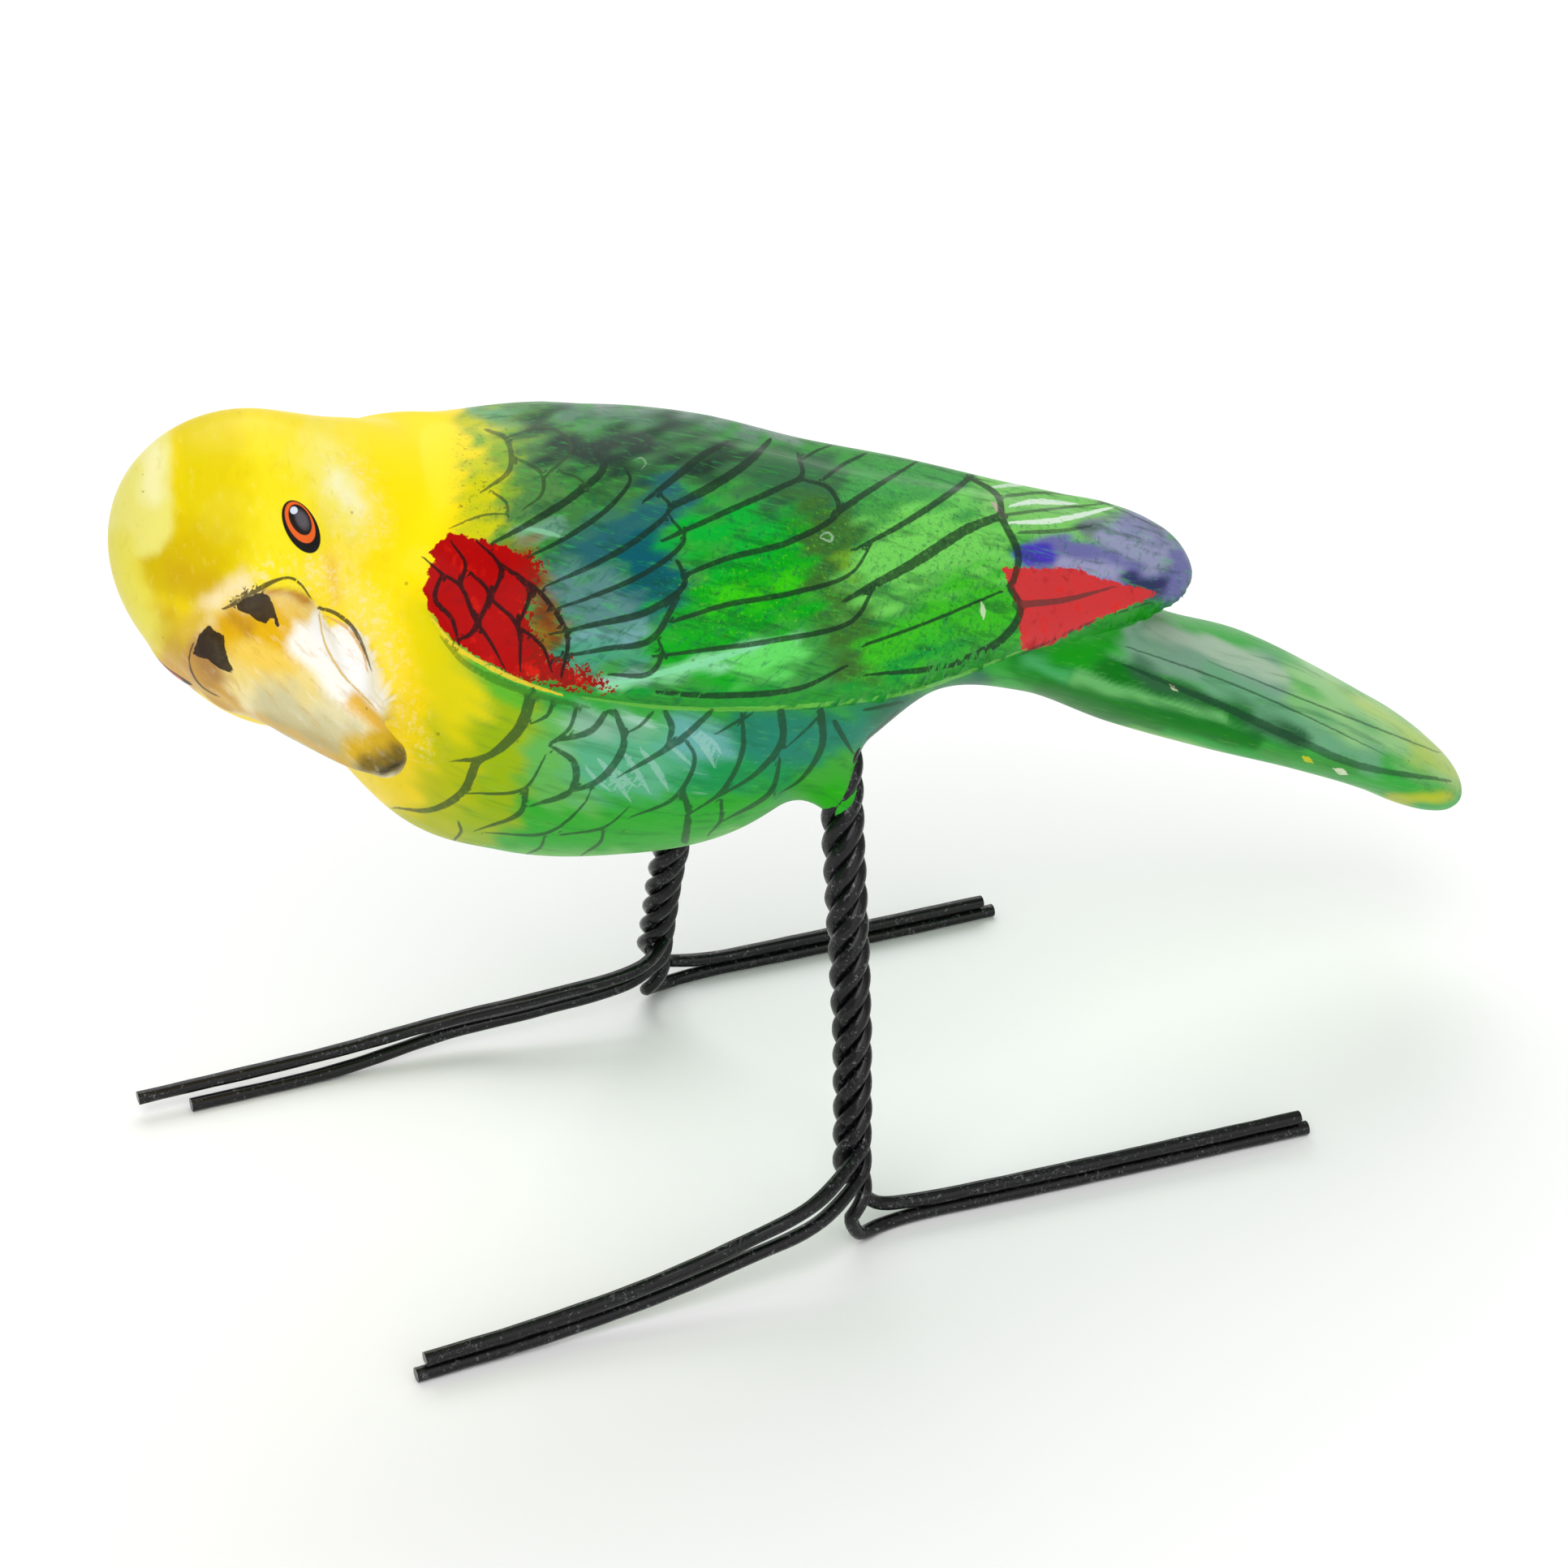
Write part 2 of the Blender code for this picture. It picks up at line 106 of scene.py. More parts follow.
def keep(a, b, blend):
    """What two forms have in common, with a rounded edge."""
    return -fuse(-a, -b, blend)


def swept(along, across, up, table):
    """An oval that changes along one way by the rows of a table, with round ends."""
    middle, half_up, half_across = (through(table, along, c) for c in (1, 2, 3))
    size = np.minimum(half_up, half_across)
    side = (np.hypot((up - middle) / half_up, across / half_across) - 1) * size
    past = np.maximum(table[0, 0] - along, 0) + np.maximum(along - table[-1, 0], 0)
    return np.where(past > 0, np.hypot(np.maximum(side + size, 0), past) - size, side)


def cone(p, a, b, radius_a, radius_b):
    """A cone with round ends between two points."""
    along = b - a
    t = np.clip((p - a) @ along / (along @ along), 0, 1)
    return np.linalg.norm(p - a - t[:, None] * along, axis=1) - (radius_a + (radius_b - radius_a) * t)


def ramp(value, low, high):
    """0 below low, 1 above high, and smooth between."""
    t = np.clip((value - low) / (high - low), 0, 1)
    return t * t * (3 - 2 * t)


print("fillet of two planes at their meeting", fuse(np.zeros(1), np.zeros(1), 2.0))

# %% [markdown]
# ## The sizes of the bird
# These are the CAD model's own sizes in millimetres, so that the fine bird has the same form. X runs from
# the head to the tail, Z is up, and the bird's left side is at negative Y. The body is a row of ovals, each
# with its place, middle height, half height and half width.

# %% The sizes of the bird
TORSO = np.array([
    (-44.0, 65.8, 11.8, 11.2), (-37.0, 61.2, 17.4, 16.2), (-29.0, 57.7, 18.8, 17.6),
    (-19.0, 55.4, 19.3, 18.4), (-8.0, 53.6, 17.8, 18.0), (3.0, 53.4, 12.4, 15.4),
    (13.0, 53.2, 8.0, 11.8), (23.0, 49.7, 6.8, 11.2), (33.0, 44.2, 7.1, 10.6),
    (43.0, 38.2, 6.0, 10.1), (53.0, 33.6, 5.7, 11.3), (62.0, 28.3, 5.0, 10.8),
    (66.0, 25.6, 4.8, 10.2), (69.5, 23.4, 4.4, 8.9), (72.3, 21.6, 3.6, 6.9),
    (74.2, 20.5, 2.6, 4.8), (75.3, 19.9, 1.5, 2.7), (75.8, 19.6, 0.5, 0.9),
])
WINGS = np.array([
    (-40.0, 62.2, 13.2, 13.2), (-32.0, 59.4, 16.2, 16.8), (-24.0, 58.2, 18.3, 19.0),
    (-14.0, 56.0, 19.5, 19.7), (-4.0, 54.0, 18.8, 19.3), (6.0, 52.0, 16.6, 17.8),
    (16.0, 51.0, 14.0, 15.0), (26.0, 50.2, 10.9, 11.4), (32.0, 49.9, 8.9, 10.0),
    (36.5, 49.9, 7.2, 8.2), (39.8, 50.3, 4.7, 6.1), (41.9, 50.3, 2.6, 3.7), (42.8, 50.2, 0.8, 1.2),
])
WING_LOWER_EDGE = np.array([
    (-38.0, 72.5), (-36.2, 68.0), (-32.8, 64.1), (-26.4, 60.8), (-16.0, 57.5), (-4.2, 54.3),
    (4.3, 52.6), (13.3, 51.8), (19.0, 51.8), (28.0, 51.4), (35.0, 50.0), (38.5, 49.9), (41.0, 50.7),
    (44.0, 53.2),
])
WING_FRONT_EDGE = np.array([
    (60.0, -37.5), (69.0, -37.4), (71.0, -37.0), (73.0, -35.4), (76.0, -31.0), (79.0, -26.0), (84.0, -20.0),
])
WING_RISE = 0.35             # how far the front of the wings stands proud of the breast
WING_LIP = 0.7               # size of the fillet along the wings' edges
EDGE_SLOPE = 0.8             # evens out the measure of an edge that runs at a slant
BACK_GROOVE = (-12.0, 40.0, 0.9, 3.0)   # start, end, depth and half width
HEAD_MIDDLE = np.array((-48.3, -3.0, 71.6))
HEAD_RADIUS = 11.3
RIGHT_CHEEK = 1.17           # how much flatter than the left cheek the right one is
HEAD_YAW, HEAD_PITCH, HEAD_ROLL = (math.radians(a) for a in (53.8, -12.8, 52.3))
NECK_BLEND = 6.0
UPPER_BEAK = np.array([
    (-2.0, 6.6, 4.0, 4.6), (2.0, 8.4, 4.4, 6.5), (5.2, 8.9, 4.2, 6.8), (7.4, 9.2, 3.8, 5.6),
    (10.6, 10.3, 3.1, 4.3), (12.7, 11.0, 2.7, 3.4), (15.7, 11.6, 2.2, 2.3), (17.6, 11.6, 1.7, 1.7),
])
LOWER_BEAK = np.array([
    (6.5, 6.2, 3.6, 4.2), (9.0, 6.9, 4.0, 5.0), (12.3, 8.5, 3.2, 4.4), (14.2, 9.4, 2.2, 2.4),
])
BEAK_BLEND = 0.35
EYE = dict(forward=5.06, side=9.99, up=-1.48, radius=2.8, rise=0.5)
FAR_EYE = dict(forward=7.5, side=8.75, up=-0.4)
STUB_TOP = np.array((-2.2, 10.0, 48.5))
STUB_MOUTH = np.array((1.0, 13.4, 41.5))
STUB_TOP_RADIUS = 5.2
STUB_MOUTH_RADIUS = 1.75
STUB_BLEND = 2.4
print("body from", TORSO[0, 0], "to", TORSO[-1, 0], "mm along X")

# %% [markdown]
# ## The clay
# The head is a ball, turned over the bird's left shoulder and tilted. The beak is two swept ovals on it. The
# folded wings are one mantle that ends in a small step along the wings' lower and front edges. The measure
# called clay is nought on the bird's surface, less inside and more outside.


# %% The clay
def head_axes():
    """Forward, left and up of the turned head."""
    forward = np.array((
        -math.cos(HEAD_YAW) * math.cos(HEAD_PITCH),
        -math.sin(HEAD_YAW) * math.cos(HEAD_PITCH),
        math.sin(HEAD_PITCH),
    ))
    level_left = np.cross((0, 0, 1), forward) / math.cos(HEAD_PITCH)
    level_up = np.cross(forward, level_left)
    left = level_left * math.cos(HEAD_ROLL) + level_up * math.sin(HEAD_ROLL)
    return forward, left, np.cross(forward, left)


def head_form(p):
    """The head ball with its eye swellings, and the beak on it."""
    forward, left, up = ((p - HEAD_MIDDLE) @ axis for axis in head_axes())
    cheek = np.where(left < 0, RIGHT_CHEEK, 1.0) * left
    ball = np.sqrt(forward**2 + cheek**2 + up**2) - HEAD_RADIUS
    eye = {way: np.where(left < 0, FAR_EYE[way], EYE[way]) for way in FAR_EYE}
    from_eye = np.stack([forward - eye["forward"], np.abs(left) - eye["side"], up - eye["up"]])
    ball = ball - EYE["rise"] * np.clip(1 - (from_eye**2).sum(0) / EYE["radius"]**2, 0, 1)
    upper = swept(-up, left, forward, UPPER_BEAK)
    lower = swept(-up, left, forward, LOWER_BEAK)
    return ball, fuse(upper, lower, BEAK_BLEND / 2)


def wing_form(x, y, z, body):
    """Both folded wings as one mantle that ends at the wings' front and lower edges."""
    proud = WING_RISE - 2 * ramp(x, -20, -6)
    mantle = fuse(swept(x, y, z, WINGS), body - proud, 1.0)
    start, end, depth, half_width = BACK_GROOVE
    run = np.clip((x - start) / 8, 0, 1) * np.clip((end - x) / 8, 0, 1)
    mantle = mantle + depth * run * np.exp(-(y / half_width)**2)
    mantle = keep(mantle, (through(WING_LOWER_EDGE, x) - z) * EDGE_SLOPE, WING_LIP)
    return keep(mantle, (through(WING_FRONT_EDGE, z) - x) * EDGE_SLOPE, 2 * WING_LIP)


def bird_forms(p):
    """The body with the head, the wings, the beak and the stubs, each before it is joined to the rest."""
    x, y, z = p[:, 0], np.abs(p[:, 1]), p[:, 2]
    ball, beak = head_form(p)
    body = fuse(swept(x, y, z, TORSO), ball, NECK_BLEND)
    stub = cone(np.stack([x, y, z], 1), STUB_TOP, STUB_MOUTH, STUB_TOP_RADIUS, STUB_MOUTH_RADIUS)
    return body, wing_form(x, y, z, body), beak, stub


def clay(p):
    """How far each point lies outside the bird, in mm."""
    body, wings, beak, stub = bird_forms(p)
    shoulder = np.clip((p[:, 2] - 68) / 6, 0, 1) * np.clip((-10 - p[:, 0]) / 8, 0, 1)
    rump = np.clip((p[:, 0] - 18) / 10, 0, 1)
    bird = fuse(body, wings, WING_LIP + 3 * shoulder + 1.5 * rump)
    return fuse(fuse(bird, beak, BEAK_BLEND), stub, STUB_BLEND)


def slope_of_clay(p, step=0.02):
    """The outward slope of the clay measure at each point."""
    return np.stack([clay(p + axis * step) - clay(p - axis * step) for axis in np.eye(3)], 1) / (2 * step)


print("the head's middle is inside the clay by", round(-float(clay(HEAD_MIDDLE[None])[0]), 2), "mm")

# %% [markdown]
# ## Where the bird stands
# The carving has its own origin between the ankles, and the frame's origin is under the middle of the whole
# figurine. The wires show how far the two are apart: each wire's box in the frame is compared with the box
# of the way that the wire follows. That way comes first, because the legs need it too.

# %% Where the bird stands
LEG_HEIGHT, STANCE, WIRE = 41.5, 45.4, 1.4
TWIST_PITCH, TWIST_FOOT, SOCKET_DEPTH, TOE_REACH = 9.75, 9.0, 5.0, 44.0
CAD_GAP = 0.2                # the CAD model keeps its wires this far apart
FLAT_UNDERSIDE = 0.08        # the toes are a little flat where they lie on the floor
FLOOR_LEVEL = WIRE / 2 - FLAT_UNDERSIDE
LEGS = {"left": (-1, -2.0, 0.4), "right": (1, -3.6, -1.0)}
WIRES = {
    "left": [
        ("front_upper", 9.8, True, [
            (-0.15, -1.9, 5.6), (-0.32, -2.2, 3.6), (-0.55, -2.0, 1.6), (-0.77, -1.7, 0.5),
            (-1.00, -1.5, 0)]),
        ("front_lower", 7.2, False, [
            (-0.14, -1.7, 4.6), (-0.32, -1.9, 2.9), (-0.55, -1.8, 1.2), (-0.77, -1.6, 0.3),
            (-1.02, -1.5, 0)]),
        ("back_lower", 3.3, False, [
            (-0.03, 0.2, 0.6), (0.03, 1.2, 0), (0.11, 1.4, 0), (0.27, 0.8, 0), (0.64, -0.6, 0),
            (1.03, -1.9, 0)]),
        ("back_upper", 5.5, True, [
            (0.03, 2.1, 0.6), (0.12, 1.6, 0), (0.27, 0.8, 0), (0.64, -0.6, 0), (1.01, -1.8, 0)]),
    ],
    "right": [
        ("front_upper", 9.8, True, [
            (-0.13, -5.1, 6.2), (-0.36, -2.9, 3.9), (-0.55, 0.1, 1.9), (-0.82, 1.5, 0.5),
            (-1.26, 2.4, 0)]),
        ("front_lower", 7.2, False, [
            (-0.14, -3.2, 4.8), (-0.36, -1.6, 3.0), (-0.55, 0.4, 1.6), (-0.82, 0.7, 0.2),
            (-1.15, 1.2, 0)]),
        ("back_lower", 3.3, False, [
            (-0.06, 0.9, 0.7), (0.00, 2.2, 0), (0.09, 2.4, 0), (0.27, 1.9, 0), (0.55, 1.2, 0),
            (0.83, 0.7, 0)]),
        ("back_upper", 5.5, True, [
            (0.01, 2.9, 0.6), (0.10, 2.5, 0), (0.27, 1.9, 0), (0.55, 1.2, 0), (0.80, 0.7, 0)]),
    ],
}


def twist_radius(spacing, pitch):
    """The smallest radius at which four wires can twist round each other that far apart."""
    turns = np.linspace(0, math.pi / 2, 91)
    radius = spacing / math.sqrt(2)
    along, half_angle = pitch * turns / math.tau, (math.pi / 2 - turns) / 2
    while np.hypot(2 * radius * np.sin(half_angle), along).min() < spacing:
        radius *= 1.005
    return radius


def leg_point(leg, height):
    """The middle of a leg at a height over the floor."""
    side, ankle_x, bow = LEGS[leg]
    t = height / LEG_HEIGHT
    x = ankle_x + (STUB_MOUTH[0] - ankle_x) * t + bow * math.sin(math.pi * min(t, 1))**2
    return Vector((x, side * (STANCE / 2 + (STUB_MOUTH[1] - STANCE / 2) * t), height))


def twist_point(leg, order, height, radius):
    """A point of one wire in the twist. The wires follow each other a quarter of a turn apart."""
    turn = math.tau * ((height - TWIST_FOOT) / TWIST_PITCH + order / 4) - math.pi / 2
    along = (leg_point(leg, height + 1) - leg_point(leg, height - 1)).normalized()
    ahead = (Vector((1, 0, 0)) - along * along.x).normalized()
    offset = math.cos(turn) * ahead + math.sin(turn) * along.cross(ahead)
    return leg_point(leg, height) + radius * offset


def wire_path(leg, order, gap, points_per_turn=7, toe_step=4.5):
    """A wire's way from its socket down the twist and out along its toe."""
    _, leaves, on_top, toe = WIRES[leg][order]
    radius = twist_radius(WIRE + gap, TWIST_PITCH)
    socket_end = LEG_HEIGHT + SOCKET_DEPTH
    turns = (socket_end - leaves) / TWIST_PITCH
    heights = np.linspace(socket_end, leaves, round(turns * points_per_turn) + 1)
    points = [twist_point(leg, order, height, radius) for height in heights]
    twist_steps = len(points) - 1
    lies_at = FLOOR_LEVEL + (WIRE + gap if on_top else 0)
    ankle_y = leg_point(leg, 0).y
    for share, beside, lift in toe:
        points.append(Vector((share * TOE_REACH, ankle_y + beside, lies_at + lift)))
    gaps = [(b - a).length for a, b in zip(points[twist_steps:], points[twist_steps + 1:])]
    return smooth_path(points, [1] * twist_steps + [max(2, round(gap / toe_step)) for gap in gaps])


def standing_place():
    """How far the frame lies from the carving, from the middles of the wires' boxes."""
    moves = []
    for leg in LEGS:
        for order, (name, *_) in enumerate(WIRES[leg]):
            low, high = (np.array(corner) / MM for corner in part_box(f"{leg}_{name}_wire"))
            path = wire_path(leg, order, CAD_GAP)
            moves.append((low + high - path.min(0) - path.max(0))[:2] / 2)
    return np.append(np.mean(moves, 0), 0.0)


PLACE = standing_place()
print("the carving moves by", PLACE.round(2), "mm to stand in the frame")

# %% [markdown]
# ## Carving the fine bird
# A lump of round balls is fused by a voxel Remesh, which gives even cells and one closed skin. Each vertex
# is then drawn along the slope of the clay measure until it lies on the surface. This is done twice, because
# the second mesh starts from the true form and so has cells that follow the wings' edge. Cells of a
# little over 0.4 mm carry the step under the wings and keep the bird under 200,000 triangles.

# %% Carving the fine bird
SKIN_CELL = 0.435
LARGEST_MOVE = 0.8           # how far a vertex may move in one round, in mm at a slope of 1


def add_object(name, data):
    """A new object at the origin, linked to the scene."""
    thing = bpy.data.objects.new(name, data)
    bpy.context.scene.collection.objects.link(thing)
    return thing


def object_from_bmesh(name, bm):
    """Puts a bmesh in a new mesh object at the origin."""
    mesh = bpy.data.meshes.new(name)
    bm.to_mesh(mesh)
    bm.free()
    return add_object(name, mesh)


def evaluated_mesh(thing):
    """A mesh of the object with its modifiers applied."""
    bpy.context.view_layer.update()
    return bpy.data.meshes.new_from_object(thing.evaluated_get(bpy.context.evaluated_depsgraph_get()))


def apply_modifiers(thing):
    """Turns what the modifiers make into the object's own mesh."""
    old, thing.data = thing.data, evaluated_mesh(thing)
    thing.modifiers.clear()
    bpy.data.meshes.remove(old)


def rough_bird():
    """Overlapping balls of clay that fill the bird nearly to its surface."""
    round_lump = bmesh.new()
    bmesh.ops.create_uvsphere(round_lump, u_segments=24, v_segments=16, radius=1)
    lump = bpy.data.meshes.new("lump")
    round_lump.to_mesh(lump)
    round_lump.free()
    bm = bmesh.new()

    def ball(middle, radii):
        shaped = lump.copy()
        shaped.transform(Matrix.LocRotScale(middle, None, radii))
        bm.from_mesh(shaped)
        bpy.data.meshes.remove(shaped)

    for x in np.arange(-44, 74, 2.5):
        middle, half_up, half_across = (float(through(TORSO, x, c)) for c in (1, 2, 3))
        ball((x, 0, middle), (2.5 + half_up / 2, half_across, half_up))
    for x in np.arange(-30, 41, 2.5):
        middle, half_up, half_across = (float(through(WINGS, x, c)) for c in (1, 2, 3))
        ball((x, 0, middle + half_up / 2), (4, half_across * 0.85, half_up / 2))
    forward, left, up = head_axes()
    ball(HEAD_MIDDLE, (HEAD_RADIUS,) * 3)
    for table in (UPPER_BEAK, LOWER_BEAK):
        for down in np.arange(table[0, 0], table[-1, 0] + 0.5, 1.0):
            ahead, half_depth, half_width = (float(through(table, down, c)) for c in (1, 2, 3))
            for share in (-0.5, 0.0, 0.5):
                side = share * (half_width - half_depth * 0.8)
                ball(HEAD_MIDDLE + ahead * forward - down * up + side * left, (half_depth,) * 3)
    for side in (-1, 1):
        for t in np.linspace(0, 1, 6):
            middle = (STUB_TOP + (STUB_MOUTH - STUB_TOP) * t) * (1, side, 1)
            ball(middle, (STUB_TOP_RADIUS * (1 - t / 2),) * 3)
    bpy.data.meshes.remove(lump)
    return bm


def vertex_places(mesh):
    """The places of a mesh's vertices, one row each."""
    points = np.empty(len(mesh.vertices) * 3)
    mesh.vertices.foreach_get("co", points)
    return points.reshape(-1, 3)


def draw_onto_clay(mesh, rounds):
    """Moves each vertex along the slope until it lies where clay is nought."""
    points = vertex_places(mesh)
    for _ in range(rounds):
        slope = slope_of_clay(points)
        steep = np.maximum((slope**2).sum(1), 0.05)
        points = points - slope * np.clip(clay(points) / steep, -LARGEST_MOVE, LARGEST_MOVE)[:, None]
    mesh.vertices.foreach_set("co", points.ravel())
    mesh.update()


def smooth_out(thing, name):
    """Two light rounds of the Smooth modifier."""
    modifier = thing.modifiers.new(name, "SMOOTH")
    modifier.factor = 0.5
    modifier.iterations = 2
    apply_modifiers(thing)


bird = object_from_bmesh("painted_bird", rough_bird())
for cell in (2 * SKIN_CELL, SKIN_CELL):
    skin = bird.modifiers.new("fused skin", "REMESH")
    skin.mode = "VOXEL"
    skin.voxel_size = cell
    apply_modifiers(bird)
    draw_onto_clay(bird.data, rounds=6)
smooth_out(bird, "even cells")
draw_onto_clay(bird.data, rounds=3)
smooth_out(bird, "soft creases")
skin_points = vertex_places(bird.data)
print("bird:", len(skin_points), "vertices and", len(bird.data.polygons), "faces")

# %% [markdown]
# ## The photographer's camera
# The strokes were read off the photograph, so each is a few pixels of a 1932 by 1932 picture, with the
# widths of the brush in pixels too. Seen from the photographer's place, every point of the bird has its own
# pixel. The other wing takes the paint of its mirrored point, because a painter decorates both alike. What
# lies behind the beak or under the wing tips, and the back of the head, is not in the picture and gets a
# plain colour.

# %% The photographer's camera
PHOTO_SIZE = 1932
PHOTO_FOCAL = 4500.0         # focal length in pixels
LOOK_DOWN, LOOK_ROUND = math.radians(29.5), math.radians(24.8)
PHOTO_PLACE = np.array((-121.1, -265.4, 201.6))
TO_RIGHT = np.array((math.cos(LOOK_ROUND), -math.sin(LOOK_ROUND), 0))
LEVEL = np.array((math.sin(LOOK_ROUND), math.cos(LOOK_ROUND), 0))
TO_TOP = math.sin(LOOK_DOWN) * LEVEL + math.cos(LOOK_DOWN) * np.array((0, 0, 1))
INTO = math.cos(LOOK_DOWN) * LEVEL - math.sin(LOOK_DOWN) * np.array((0, 0, 1))


def pixels_of(points):
    """Where points of the carving are in the photograph, in pixels from its top left corner."""
    away = points - PHOTO_PLACE
    scale = PHOTO_FOCAL / (away @ INTO)
    return np.stack([PHOTO_SIZE / 2 + scale * (away @ TO_RIGHT), PHOTO_SIZE / 2 - scale * (away @ TO_TOP)], 1)


def neighbour_mean(mesh, values, rounds):
    """Evens out a value over the skin, from each vertex to the next."""
    edges = np.empty(len(mesh.edges) * 2, int)
    mesh.edges.foreach_get("vertices", edges)
    a, b = edges.reshape(-1, 2).T
    count = np.bincount(a, minlength=len(values)) + np.bincount(b, minlength=len(values))
    for _ in range(rounds):
        around = np.bincount(a, values[b], len(values)) + np.bincount(b, values[a], len(values))
        values = 0.5 * values + 0.5 * around / count
    return values


forward_axis, left_axis, up_axis = head_axes()
on_head = ramp(-skin_points[:, 0], 35, 41)
RAY_START, RAY_LENGTH = 0.5, 60   # mm off the skin, and mm that a ray looks ahead
tree = BVHTree.FromPolygons(skin_points.tolist(), [tuple(face.vertices) for face in bird.data.polygons])


def seen(points):
    """How far the skin at each point faces the camera, and whether nothing is in between."""
    slope = slope_of_clay(points)
    outward = slope / np.linalg.norm(slope, axis=1)[:, None]
    towards = PHOTO_PLACE - points
    towards /= np.linalg.norm(towards, axis=1)[:, None]
    facing = (outward * towards).sum(1)
    clear = facing > 0
    for i in np.flatnonzero(clear):
        start = Vector(points[i] + RAY_START * outward[i])
        clear[i] = tree.ray_cast(start, Vector(towards[i]), RAY_LENGTH)[0] is None
    return facing, clear


facing, clear = seen(skin_points)
far_side = skin_points[:, 1] > 0
mirrored = far_side & (on_head < 0.5) & ~clear
line_share = np.where(far_side & ~mirrored & (on_head < 0.5), ramp(facing, 0.04, 0.14), 1.0)
folded = np.where(mirrored[:, None], skin_points * (1, -1, 1), skin_points)
facing, clear = (np.where(mirrored, other, own) for other, own in zip(seen(folded), (facing, clear)))
pictured = np.where(facing > 0, clear, 1 - on_head)
pictured = neighbour_mean(bird.data, pictured, 5)
pixel = pixels_of(folded)
print("share of the skin that the picture paints", round(float(pictured.mean()), 3))

# %% [markdown]
# ## Broad strokes
# The painter first laid broad soft patches of colour, one over the other. Each patch here is a colour, the
# width of the brush, how soft its edge is, and the few points that the brush went through. The soft edge is
# made ragged by waves of a few sizes, so that no patch looks airbrushed. The head, the beak, the wings and
# the body have their own lists, so that no colour runs over the edge between two forms. A few pale patches
# are painted highlights and painted reflections, and one brown patch on the beak is painted shade.


# %% Broad strokes
FACE_PATCHES = [
    ((249, 220, 0), 2400, 60, [(300, 560), (330, 900)]),
    ((253, 222, 0), 120, 60, [(490, 600), (480, 780)]),
    ((244, 226, 30), 100, 70, [(345, 570), (340, 690)]),
    ((243, 220, 20), 40, 40, [(300, 518), (440, 536), (560, 538)]),
    ((229, 207, 0), 92, 50, [(254, 540), (262, 660)]),
    ((214, 186, 0), 100, 60, [(205, 690), (245, 700)]),
    ((208, 172, 12), 36, 34, [(222, 710), (252, 724)]),
    ((212, 178, 24), 50, 44, [(200, 770), (222, 800)]),
    # Painted reflection: a pale cream zone with a straight edge on the left of the head, a lamp's reflection.
    ((238, 230, 118), 100, 14, [(160, 545), (160, 600), (164, 640)]),
    ((236, 226, 84), 46, 34, [(145, 680), (155, 730), (180, 775)]),
    # Painted highlight: the brightest part of that painted reflection.
    ((247, 241, 172), 26, 24, [(190, 560), (188, 610)]),
    # Painted highlight: a pale cream patch on the crown beside the eye, in two layers.
    ((243, 232, 110), 62, 64, [(404, 560), (436, 640)]),
    ((246, 243, 190), 22, 34, [(416, 596), (440, 622)]),
    ((247, 226, 172), 20, 26, [(252, 750), (300, 718)]),
    ((220, 186, 60), 22, 26, [(232, 780), (250, 758)]),
    ((204, 164, 56), 18, 18, [(216, 796), (228, 836)]),
    ((252, 228, 84), 40, 54, [(408, 706), (470, 790), (490, 870)]),
    ((240, 196, 66), 12, 22, [(408, 690), (414, 736)]),
    ((214, 166, 84), 16, 20, [(206, 816), (240, 848)]),
]
BEAK_PATCHES = [
    ((239, 227, 176), 900, 10, [(340, 800), (420, 900)]),
    ((236, 214, 132), 60, 40, [(290, 822), (370, 846)]),
    ((206, 197, 152), 60, 34, [(345, 868), (420, 912)]),
    ((190, 176, 126), 18, 18, [(330, 884), (372, 904), (410, 924)]),
    ((235, 204, 118), 40, 30, [(350, 745), (384, 762)]),
    ((226, 176, 8), 64, 34, [(282, 776), (330, 778), (350, 792)]),
    ((240, 204, 84), 30, 28, [(300, 806), (364, 814)]),
    ((196, 144, 30), 20, 18, [(286, 762), (306, 774)]),
    ((194, 138, 54), 18, 14, [(330, 726), (352, 720), (374, 736)]),
    # Painted highlight: a white strip along the seam of the beak.
    ((250, 248, 236), 48, 20, [(380, 792), (416, 834), (440, 862)]),
    ((251, 250, 246), 60, 14, [(412, 772), (446, 820), (458, 850)]),
    ((204, 156, 66), 30, 18, [(232, 770), (230, 812), (244, 846), (276, 868)]),
    # Painted shade: brown along the left edge of the beak.
    ((176, 132, 70), 22, 20, [(248, 800), (266, 838)]),
    ((216, 180, 104), 9, 9, [(244, 846), (300, 876), (360, 904), (430, 944)]),
    ((236, 188, 78), 20, 14, [(440, 866), (478, 912)]),
    ((210, 172, 40), 40, 22, [(440, 924), (484, 910)]),
    ((120, 100, 34), 22, 24, [(452, 944), (494, 932)]),
    ((44, 40, 30), 9, 12, [(470, 952), (496, 940)]),
]
